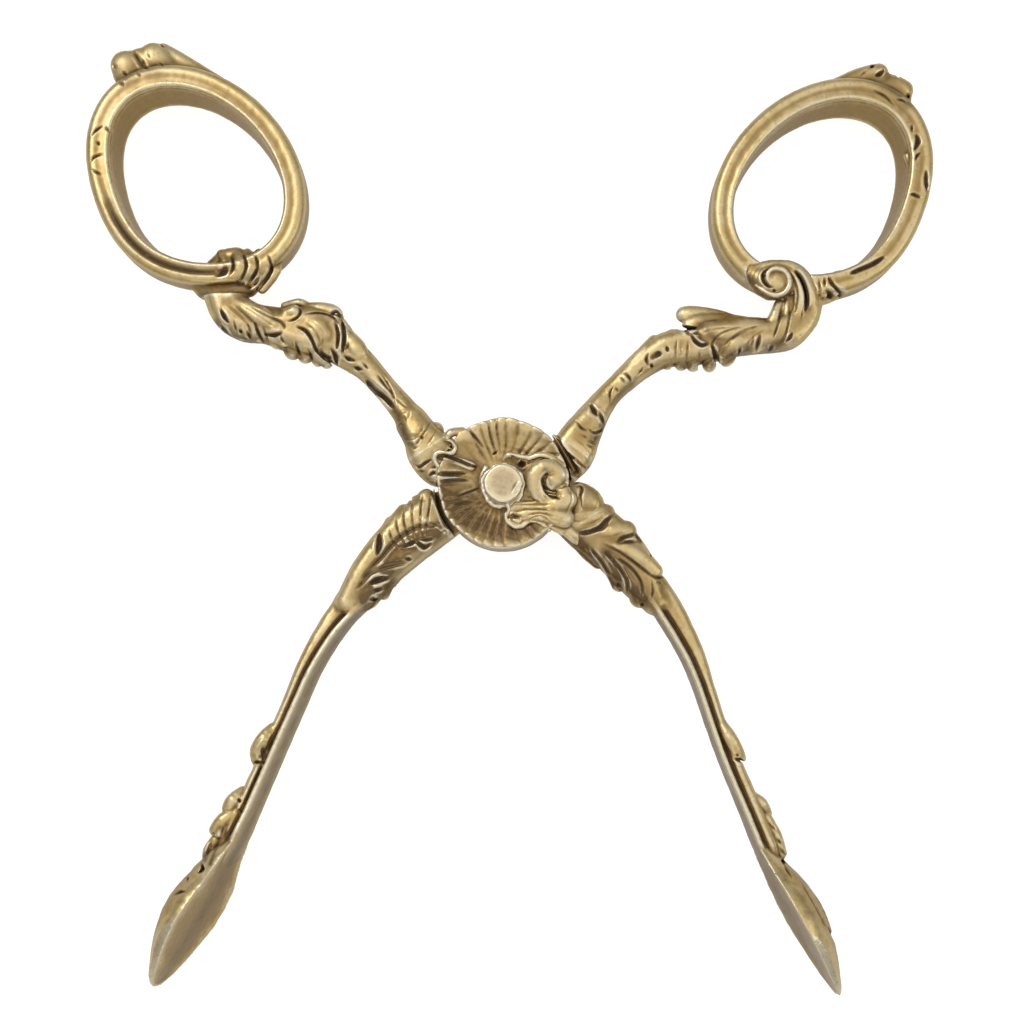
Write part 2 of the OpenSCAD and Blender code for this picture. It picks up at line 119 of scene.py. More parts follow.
class Clay:
    """A block of distance samples in millimetres that strokes are added to and cut from."""

    def __init__(self, lo, hi, step):
        self.h = step
        self.lo = np.array(lo, float)
        self.n = np.ceil((np.array(hi, float) - self.lo) / step).astype(int) + 1
        self.axes = [(self.lo[i] + step * np.arange(self.n[i])).astype(np.float32) for i in range(3)]
        self.f = np.full(tuple(self.n), 3.0, np.float32)
        # Lines of brown patina and painted shade in the plane, each with its width and its strength
        self.patina_and_shade_lines = []

    def window(self, lo, hi):
        """The index of the samples between two corners."""
        a = np.clip(np.floor((np.asarray(lo) - self.lo) / self.h).astype(int), 0, self.n)
        b = np.clip(np.ceil((np.asarray(hi) - self.lo) / self.h).astype(int) + 1, 0, self.n)
        return tuple(slice(a[i], max(a[i], b[i])) for i in range(3))

    def grid(self, w):
        """The x, y and z of a window's samples."""
        x, y, z = (self.axes[i][w[i]] for i in range(3))
        return x[:, None, None], y[None, :, None], z[None, None, :]

    def put(self, w, d, k, mode="add"):
        """Joins a field to the block over a window, or cuts it out, with a fillet of about k."""
        sign = -1 if mode == "cut" else 1
        f = self.f[w] * sign
        m = np.clip(0.5 + 0.5 * (d - f) / k, 0, 1)
        self.f[w] = sign * (d * (1 - m) + f * m - k * m * (1 - m))

    def stroke(self, pts, k, flat, up=(0, 0, 1), mode="add"):
        """A tapered stroke through points of x, y, z, radius, thinned by flat along up."""
        p = spline(pts, 3) if len(pts) > 2 else np.asarray(pts, float)
        r = p[:, 3]
        pad = k + 3 * self.h
        up = np.asarray(up, float) / np.linalg.norm(up)
        w = self.window((p[:, :3] - r[:, None]).min(0) - pad, (p[:, :3] + r[:, None]).max(0) + pad)
        shape = tuple(s.stop - s.start for s in w)
        if min(shape) < 1:
            return
        d = np.full(shape, 9.0, np.float32)
        q = (1 / flat - 1)
        for a, b in zip(p[:-1], p[1:]):
            lo = np.minimum(a[:3] - a[3], b[:3] - b[3]) - pad
            hi = np.maximum(a[:3] + a[3], b[:3] + b[3]) + pad
            v = self.window(lo, hi)
            local = tuple(slice(max(v[i].start - w[i].start, 0), v[i].stop - w[i].start) for i in range(3))
            x, y, z = self.grid(v)
            rx, ry, rz = x - np.float32(a[0]), y - np.float32(a[1]), z - np.float32(a[2])
            e = b[:3] - a[:3]
            if q:
                ux, uy, uz = up.astype(np.float32)
                s = (rx * ux + ry * uy + rz * uz) * np.float32(q)
                rx, ry, rz = rx + s * ux, ry + s * uy, rz + s * uz
                e = e + q * np.dot(e, up) * up
            ee = max(float(np.dot(e, e)), 1e-9)
            e = e.astype(np.float32)
            t = np.clip((rx * e[0] + ry * e[1] + rz * e[2]) / np.float32(ee), 0, 1)
            dx, dy, dz = rx - t * e[0], ry - t * e[1], rz - t * e[2]
            g = np.sqrt(dx * dx + dy * dy + dz * dz) - (np.float32(a[3]) + t * np.float32(b[3] - a[3]))
            d[local] = np.minimum(d[local], g * np.float32(0.5 * (1 + flat) if flat < 1 else 1))
        self.put(w, d, k, mode)

    def flat_map(self, w, line):
        """Share along a line for each x, y of a window, and the distance from it, positive on its left."""
        x, y = self.axes[0][w[0]][:, None], self.axes[1][w[1]][None, :]
        best = np.full((x.shape[0], y.shape[1]), 1e9, np.float32)
        share, side = np.zeros_like(best), np.zeros_like(best)
        n = len(line) - 1
        for i in range(n):
            a, e = line[i], line[i + 1] - line[i]
            ee = max(float(np.dot(e, e)), 1e-12)
            rx, ry = x - np.float32(a[0]), y - np.float32(a[1])
            t = np.clip((rx * np.float32(e[0]) + ry * np.float32(e[1])) / np.float32(ee), 0, 1)
            dx, dy = rx - t * np.float32(e[0]), ry - t * np.float32(e[1])
            dd = dx * dx + dy * dy
            m = dd < best
            best = np.where(m, dd, best)
            share = np.where(m, (i + t) / n, share)
            side = np.where(m, np.sign(e[0] * dy - e[1] * dx) * np.sqrt(dd), side)
        return share, side

    def carve(self, pts, wide, deep, low):
        """Sinks the surface by deep along a line, or raises it where deep is negative, fading at the ends."""
        p = spline(pts, 3)
        w = self.window((*(p[:, :2].min(0) - 3 * wide), low), (*(p[:, :2].max(0) + 3 * wide), ABOVE))
        if min(s.stop - s.start for s in w) < 2:
            return
        share, side = self.flat_map(w, p[:, :2])
        long = np.linalg.norm(np.diff(p[:, :2], axis=0), axis=1).sum()
        fade = np.clip(np.minimum(share, 1 - share) * max(2.2, long / 0.9), 0, 1)
        thin = wide * (0.45 + 0.55 * fade)
        lip = 0.12 * np.exp(-(((np.abs(side) - 2 * thin) / thin) ** 2))
        bell = (deep * fade ** 0.7 * (np.exp(-((side / thin) ** 2)) - lip)).astype(np.float32)
        self.f[w] += bell[:, :, None] * np.clip(self.axes[2][w[2]] - low, 0, 1)

    def bar(self, rows, k, corner):
        """A bar with rounded corners through rows of x, y, z, half width in the plane, half depth."""
        p = spline(rows)
        pad = k + 3 * self.h
        reach = np.maximum(p[:, 3], 0)[:, None]
        w = self.window((*((p[:, :2] - reach).min(0) - pad), (p[:, 2] - p[:, 4]).min() - pad),
                        (*((p[:, :2] + reach).max(0) + pad), (p[:, 2] + p[:, 4]).max() + pad))
        share, side = self.flat_map(w, p[:, :2])
        at = share * (len(p) - 1)
        pick = lambda c: np.interp(at, np.arange(len(p)), p[:, c]).astype(np.float32)[:, :, None]
        z = self.axes[2][w[2]][None, None, :] - pick(2)
        half, deep = pick(3), pick(4)
        c = np.minimum(corner, 0.95 * np.minimum(half, deep))
        a, b = np.abs(side)[:, :, None] - (half - c), np.abs(z) - (deep - c)
        d = np.sqrt(np.maximum(a, 0) ** 2 + np.maximum(b, 0) ** 2) + np.minimum(np.maximum(a, b), 0) - c
        self.put(w, d.astype(np.float32), k)

    def roughen(self, deep, sizes=(2.3, 1.1, 0.55), seed=3):
        """Unevenness of a hand-finished casting: a few waves of each size, crossed at odd angles."""
        rng = np.random.default_rng(seed)
        x, y, z = self.grid(WHOLE)
        for size in sizes:
            for _ in range(3):
                d = rng.normal(size=3)
                d *= 2 * math.pi / size / np.linalg.norm(d)
                e = rng.normal(size=3)
                e *= 2 * math.pi / (size * 1.7) / np.linalg.norm(e)
                a, b = rng.uniform(0, 6, 2)
                wave = np.sin(x * d[0] + y * d[1] + a) * np.cos(z * d[2] + y * e[1] + b)
                self.f += (deep * (size / sizes[0]) ** 0.6 / 1.7 * wave).astype(np.float32)

    def slab(self, point, normal, tuck):
        """Cuts away the side of a plane that its normal points to, and tucks the surface in beside it."""
        n = np.asarray(normal, float) / np.linalg.norm(normal)
        x, y, z = self.grid(WHOLE)
        d = ((x - point[0]) * n[0] + (y - point[1]) * n[1] + (z - point[2]) * n[2]).astype(np.float32)
        self.f += tuck * np.clip(1 + d / 0.35, 0, 1)
        self.f = np.maximum(self.f, d)

    def skin(self):
        """Vertices, quads and the three shade values of the block's surface."""
        f, h = self.f, self.h
        for i in range(3):
            ends = [slice(None)] * 3
            for e in (0, -1):
                ends[i] = e
                f[tuple(ends)] = np.maximum(f[tuple(ends)], 0.05)
        inside = f < 0
        c = [inside[i:f.shape[0] - 1 + i, j:f.shape[1] - 1 + j, l:f.shape[2] - 1 + l]
             for i in (0, 1) for j in (0, 1) for l in (0, 1)]
        some, every = c[0].copy(), c[0].copy()
        for m in c[1:]:
            some |= m
            every &= m
        cells = np.argwhere(some & ~every)
        ids = np.full(some.shape, -1, np.int32)
        ids[tuple(cells.T)] = np.arange(len(cells))
        total, count = np.zeros((len(cells), 3)), np.zeros(len(cells))
        corner = {(i, j, l): f[cells[:, 0] + i, cells[:, 1] + j, cells[:, 2] + l]
                  for i in (0, 1) for j in (0, 1) for l in (0, 1)}
        for axis in range(3):
            for u in (0, 1):
                for v in (0, 1):
                    a = [u, v]
                    a.insert(axis, 0)
                    b = list(a)
                    b[axis] = 1
                    fa, fb = corner[tuple(a)], corner[tuple(b)]
                    m = (fa < 0) != (fb < 0)
                    t = fa / np.where(m, fa - fb, 1)
                    for i in range(3):
                        total[:, i] += np.where(m, a[i] + (t if i == axis else 0), 0)
                    count += m
        verts = cells + total / count[:, None]
        quads = []
        for axis in range(3):
            cut = [slice(1, s - 1) for s in f.shape]
            cut[axis] = slice(0, f.shape[axis] - 1)
            far = list(cut)
            far[axis] = slice(1, f.shape[axis])
            a, b = inside[tuple(cut)], inside[tuple(far)]
            e = np.argwhere(a != b)
            out = a[tuple(e.T)]
            off = [0 if i == axis else 1 for i in range(3)]
            e = e + off
            i, j = (axis + 1) % 3, (axis + 2) % 3
            di, dj = np.zeros(3, int), np.zeros(3, int)
            di[i], dj[j] = 1, 1
            q = np.stack([ids[tuple((e - s).T)] for s in (di + dj, dj, 0 * di, di)], 1)
            quads.append(np.where(out[:, None], q, q[:, ::-1]))
        quads = np.concatenate(quads)
        verts, quads = largest(verts, quads)
        for _ in range(2):
            value, slope = self.sample(f, verts, True)
            step = value[:, None] * slope / np.maximum((slope ** 2).sum(1), 1e-3)[:, None]
            verts -= np.clip(step, -0.4, 0.4)
        shades = []
        for reach in SHADE_REACH:
            soft = np.clip(f, -1.6 * reach, 1.6 * reach)
            n = max(1, round(reach / h))
            for _ in range(2):
                for axis in range(3):
                    soft = box_blur(soft, n, axis)
            shades.append(self.sample(soft, verts, False) / reach)
        at = self.lo + verts * h
        return at, quads, (*shades, self.patina_and_shade_at(at))

    def patina_and_shade_at(self, at):
        """How brown each place is from the lines of patina and painted shade laid over the block."""
        total = np.zeros(len(at))
        for pts, wide, strength in self.patina_and_shade_lines:
            p = spline(pts)
            near = np.full(len(at), 1e9)
            for a, b in zip(p[:-1], p[1:]):
                e = b - a
                t = np.clip(((at[:, :2] - a) @ e) / max(float(e @ e), 1e-9), 0, 1)
                near = np.minimum(near, ((at[:, :2] - a - t[:, None] * e) ** 2).sum(1))
            total = np.maximum(total, strength * np.exp(-near / wide ** 2))
        return total

    def sample(self, f, at, slope):
        """The field at places counted in steps, and its slope there."""
        base = np.clip(np.floor(at).astype(int), 0, np.array(f.shape) - 2)
        t = at - base
        v = {(i, j, l): f[base[:, 0] + i, base[:, 1] + j, base[:, 2] + l].astype(float)
             for i in (0, 1) for j in (0, 1) for l in (0, 1)}
        x, y, z = t.T
        mix = lambda a, b, s: a * (1 - s) + b * s
        xy = lambda i, j: mix(v[i, j, 0], v[i, j, 1], z)
        value = mix(mix(xy(0, 0), xy(0, 1), y), mix(xy(1, 0), xy(1, 1), y), x)
        if not slope:
            return value
        gx = mix(xy(1, 0), xy(1, 1), y) - mix(xy(0, 0), xy(0, 1), y)
        gy = mix(xy(0, 1) - xy(0, 0), xy(1, 1) - xy(1, 0), x)
        dz = lambda i, j: v[i, j, 1] - v[i, j, 0]
        gz = mix(mix(dz(0, 0), dz(0, 1), y), mix(dz(1, 0), dz(1, 1), y), x)
        return value, np.stack([gx, gy, gz], 1)


def largest(verts, quads):
    """The biggest connected part of a surface, without crumbs."""
    label = np.arange(len(verts))
    while True:
        low = label[quads].min(1)
        old = label.copy()
        for i in range(4):
            np.minimum.at(label, quads[:, i], low)
        label = label[label]
        if (label == old).all():
            break
    keep = label == np.bincount(label).argmax()
    place = np.cumsum(keep) - 1
    return verts[keep], place[quads[keep[quads[:, 0]]]]


def box_blur(f, n, axis):
    """Mean over 2n + 1 samples along an axis."""
    pad = [(0, 0)] * 3
    pad[axis] = (n + 1, n)
    c = np.cumsum(np.pad(f, pad, mode="edge"), axis=axis, dtype=np.float32)
    a, b = [slice(None)] * 3, [slice(None)] * 3
    a[axis], b[axis] = slice(2 * n + 1, None), slice(0, -2 * n - 1)
    return (c[tuple(a)] - c[tuple(b)]) / (2 * n + 1)


def ring_line(side, a0, a1, n):
    """Points along a finger ring's outline moved in by side, between two angles from its outer end."""
    a = np.radians(np.linspace(a0, a1, n))
    bulge = 1.3 * np.exp(-(((np.degrees(a) % 360) - 102) / 36) ** 2)
    u, v = (RING_A - side) * np.cos(a), (RING_B - side) * np.sin(a)
    u, v = u + bulge * np.cos(a) * 0.6, v + bulge * np.sin(a)
    c, s = math.cos(RING_POLAR), math.sin(RING_POLAR)
    return np.stack([RING_C[0] + u * c - v * s, RING_C[1] + u * s + v * c], 1)


# Carving of each piece in its lever's frame, in millimetres. Both levers close on x = 0 in that frame.
# add and cut: fillet, flatness, points of x, y, z, radius, and the direction that is thinned
# bar: fillet, corner radius, rows of x, y, z, half width, half depth
# carve: width, depth, points of x, y, and the lowest height that it reaches
# rows of brown patina with painted shade: width, strength, points of x, y
# slab: a point in the plane, and the direction of the side that is cut away
# curl: x, y, z, radius of the loop, radius of its wire
CARVING = {}
CARVING["stem_left"] = [
    ("bar", 0.4, 1.6, [(-14.13, 33.7, 3.5, 2.22, 2.4), (-14.57, 31.3, 3.5, 2.22, 2.5),
        (-13.73, 29.46, 3.5, 2.11, 2.5), (-12.17, 28.04, 3.5, 1.9, 2.4), (-10.48, 26.39, 3.6, 2.27, 2.5),
        (-8.73, 25.02, 3.6, 2.59, 2.6), (-7.29, 23.67, 3.5, 2.48, 2.5), (-6.53, 21.45, 3.4, 1.9, 2.3),
        (-5.62, 18.88, 3.3, 1.43, 2.1), (-5.07, 15.89, 3.3, 1.27, 1.95), (-4.65, 13.12, 3.3, 1.37, 2.1),
        (-4.5, 11.12, 3.4, 1.58, 2.3), (-4.47, 9.33, 3.5, 1.85, 2.5), (-4.5, 7.66, 3.5, 2.38, 2.5)]),
    ("add", 0.12, 0.7, [(-15.45, 32.9, 5, 0.74), (-14.75, 30.34, 5.3, 0.95), (-14.2, 28.21, 4.3, 0.63)]),
    ("add", 0.12, 0.7, [(-13.94, 31.95, 5.3, 0.84), (-12.4, 28.98, 5.6, 1.06), (-11.02, 26.6, 5.2, 0.74)]),
    ("add", 0.1, 0.7, [(-12.45, 28.96, 5.3, 0.63), (-11.55, 27.18, 5.5, 0.84), (-11.06, 26.3, 5.1, 0.53)]),
    ("add", 0.12, 1, [(-9.78, 27.59, 5.3, 0.74), (-9.01, 27.35, 5.5, 0.74)]),
    ("add", 0.1, 1, [(-9.52, 28.65, 4.4, 0.42), (-8.1, 28.1, 4.9, 0.42), (-7.5, 27.38, 4.6, 0.42)]),
    ("add", 0.1, 0.8, [(-8.55, 27.51, 4.6, 0.63), (-6.61, 26.34, 5, 0.74), (-5.34, 25.25, 5, 0.63),
        (-5.23, 24.45, 4.5, 0.42)]),
    ("add", 0.12, 0.6, [(-8.98, 26.49, 5.2, 0.95), (-7.87, 24.59, 5.5, 1.48), (-7.73, 22.87, 5, 1.27)]),
    ("add", 0.06, 0.9, [(-15.57, 30.98, 4.4, 0.63), (-15.81, 29.77, 4.3, 0.74)]),
    ("add", 0.06, 0.9, [(-12.25, 27.48, 4.8, 0.74), (-12.17, 25.79, 4.4, 0.84)]),
    ("add", 0.06, 0.9, [(-11.16, 26.19, 4.8, 0.84), (-11.29, 24.08, 4.3, 0.95)]),
    ("add", 0.06, 0.9, [(-10.24, 24.72, 4.7, 0.84), (-10.4, 22.94, 4.1, 0.84)]),
    ("add", 0.06, 0.9, [(-9.41, 23.23, 4.6, 0.74), (-9.59, 21.83, 4, 0.63)]),
    ("add", 0.1, 0.9, [(-8.99, 25.06, 5.3, 0.74), (-9.07, 22.75, 4.7, 0.84), (-8.89, 21.16, 3.9, 0.63)]),
    ("add", 0.06, 0.9, [(-14.56, 29.69, 4.6, 0.74), (-14.68, 28.45, 4.4, 0.84)]),
    ("add", 0.06, 0.9, [(-13.35, 28.56, 4.7, 0.74), (-13.34, 27.38, 4.4, 0.84)]),
    ("add", 0.1, 0.7, [(-5.76, 22.66, 5, 0.84), (-5.47, 20.69, 5.1, 1.06), (-5.41, 19.21, 4.8, 0.74)]),
    ("add", 0.1, 0.9, [(-5.83, 19.8, 4.4, 0.63), (-5.59, 18.13, 4.5, 0.63)]),
    ("add", 0.1, 0.9, [(-7.1, 20.4, 4.1, 0.63), (-6.91, 19.31, 3.9, 0.63)]),
    ("add", 0.12, 0.8, [(-4.34, 14.12, 4.4, 0.74), (-4.33, 12.08, 4.6, 0.95), (-4.59, 10.25, 4.5, 0.95)]),
    ("add", 0.12, 0.8, [(-4.06, 10.91, 4.6, 0.63), (-4.34, 8.82, 4.7, 0.84), (-4.29, 7.31, 4.6, 0.95)]),
    ("add", 0.1, 0.8, [(-5.65, 11, 3.9, 0.63), (-5.69, 9.51, 4, 0.63)]),
    ("carve", 0.18, 0.52, [(-15.47, 31.62), (-15.54, 30.74), (-15.49, 29.82)], 3),
    ("carve", 0.17, 0.47, [(-16.32, 30.25), (-16.28, 29.56), (-16.09, 28.66)], 3),
    ("carve", 0.14, 0.36, [(-14.91, 28.8), (-14.83, 28.2)], 3),
    ("carve", 0.14, 0.36, [(-14.31, 28.25), (-14.36, 27.37)], 3),
    ("carve", 0.13, 0.31, [(-13.13, 28.5), (-13.36, 27.51), (-13.46, 26.31)], 3),
    ("carve", 0.2, 0.47, [(-12.92, 26.98), (-12.05, 26.26), (-11.2, 26.01)], 3),
    ("carve", 0.1, 0.21, [(-14.94, 29.86), (-15.33, 28.51)], 3),
    ("carve", 0.1, 0.21, [(-13.83, 28.81), (-14.22, 27.22)], 3),
    ("carve", 0.1, 0.21, [(-12.64, 27.7), (-12.96, 26.05)], 3),
    ("carve", 0.11, 0.23, [(-11.54, 26.17), (-11.77, 24.4)], 3),
    ("carve", 0.12, 0.26, [(-10.53, 24.63), (-10.95, 22.89)], 3),
    ("carve", 0.1, 0.21, [(-9.74, 23.27), (-10.1, 21.86)], 3),
    ("carve", 0.11, 0.31, [(-10.11, 26.73), (-9.59, 26.55), (-8.97, 26.54), (-8.42, 26.92),
        (-8.45, 27.61)], 3),
    ("carve", 0.13, 0.36, [(-9.63, 25.76), (-9.04, 24.82), (-8.98, 23.67), (-9.13, 22.4), (-8.59, 21.07),
        (-8.08, 20.5)], 3),
    ("carve", 0.21, 0.47, [(-5.96, 25.04), (-5.26, 24.98), (-5.15, 24.31)], 3),
    ("carve", 0.11, 0.26, [(-8.17, 26.43), (-6.8, 25.76), (-5.88, 24.75), (-5.71, 23.79)], 3),
    ("carve", 0.13, 0.36, [(-5.87, 24.13), (-6.38, 22.69), (-7.38, 21.44)], 3),
    ("carve", 0.15, 0.47, [(-5.17, 24.08), (-5.84, 22.36), (-7.01, 20.84)], 3),
    ("carve", 0.2, 0.47, [(-8.81, 22.44), (-8.78, 21.68), (-8.12, 21.14)], 3),
    ("carve", 0.2, 0.47, [(-7.77, 21.97), (-7.76, 20.96), (-8.49, 20.16)], 3),
    ("carve", 0.14, 0.26, [(-5.87, 21.51), (-6.58, 20.95)], 3),
    ("carve", 0.17, 0.42, [(-6.99, 20.59), (-6.71, 20.04), (-6.19, 19.47)], 3),
    ("carve", 0.17, 0.42, [(-6.78, 19.15), (-6.05, 18.32)], 3),
    ("carve", 0.1, 0.21, [(-5.71, 19.03), (-5.52, 17.92)], 3),
    ("carve", 0.26, 0.52, [(-6.28, 17.34), (-6.06, 16.07), (-5.54, 14.5), (-5.34, 13.01)], 3),
    ("carve", 0.1, 0.23, [(-5.06, 17.26), (-4.96, 15.82), (-4.79, 14.47), (-5.08, 13.4)], 3),
    ("carve", 0.1, 0.21, [(-4.55, 16.69), (-4.62, 15.36), (-4.69, 14.03)], 3),
    ("carve", 0.25, 0.52, [(-5.49, 11.94), (-4.94, 11.23)], 3),
    ("carve", 0.21, 0.42, [(-5.55, 11.26), (-6.09, 10.98)], 3),
    ("carve", 0.22, 0.52, [(-6.21, 10.15), (-5.43, 9.42), (-4.46, 9.19)], 3),
    ("carve", 0.18, 0.47, [(-6.08, 8.98), (-5.65, 8.47)], 3),
    ("carve", 0.1, 0.21, [(-3.98, 11.96), (-4.8, 11.22)], 3),
    ("carve", 0.1, 0.26, [(-3.34, 10.19), (-4.1, 9.55), (-4.9, 9.05)], 3),
    ("carve", 0.09, 0.07, [(-13.42, 30.81), (-12.35, 28.42), (-11.33, 26.5)], 3),
    ("carve", 0.09, 0.07, [(-14.67, 31.74), (-14.02, 29.57), (-13.83, 27.9)], 3),
    ("carve", 0.09, 0.07, [(-14, 31.13), (-13.44, 29.24), (-12.97, 27.65)], 3),
    ("carve", 0.1, 0.16, [(-12.58, 30.01), (-11.64, 28.37), (-10.73, 26.96), (-10.8, 26.09)], 3),
    ("carve", 0.09, 0.06, [(-7.93, 25.48), (-7.53, 24.03), (-7.84, 22.72)], 3),
    ("carve", 0.09, 0.08, [(-8.68, 25.68), (-8.23, 24.09), (-8.5, 22.63)], 3),
    ("carve", 0.08, 0.09, [(-7.7, 23.76), (-8.05, 22.98), (-8.65, 22.6)], 3),
    ("carve", 0.09, 0.1, [(-5.05, 14.84), (-4.53, 13.27), (-4.14, 12.29)], 3),
    ("carve", 0.09, 0.1, [(-4.13, 8.28), (-3.75, 7.3), (-2.97, 6.57)], 3),
    ("curl", -11.34, 25.23, 5.4, 0.49, 0.23),
    ("slab", -14.6, 33.11, 0.51, 0.86),
    ("stain", 0.53, 0.6, [(-16.58, 30.74), (-15.7, 28.45), (-13.34, 26.22)]),
    ("stain", 0.63, 0.6, [(-12.15, 24.34), (-10.84, 22.02), (-9.26, 20.55)]),
    ("stain", 0.42, 0.6, [(-6.27, 16.95), (-5.76, 14.14), (-5.42, 12.68)]),
    ("stain", 0.53, 0.6, [(-5.46, 12.21), (-5.92, 10.25), (-5.87, 8.72)]),
    ("stain", 0.42, 0.5, [(-5.42, 24.45), (-5.88, 22.47), (-6.94, 21.12)]),
    # Painted shadow where the ring's foot meets the stem
    ("stain", 0.53, 0.5, [(-14.61, 32.17), (-12.94, 31.1)]),
]

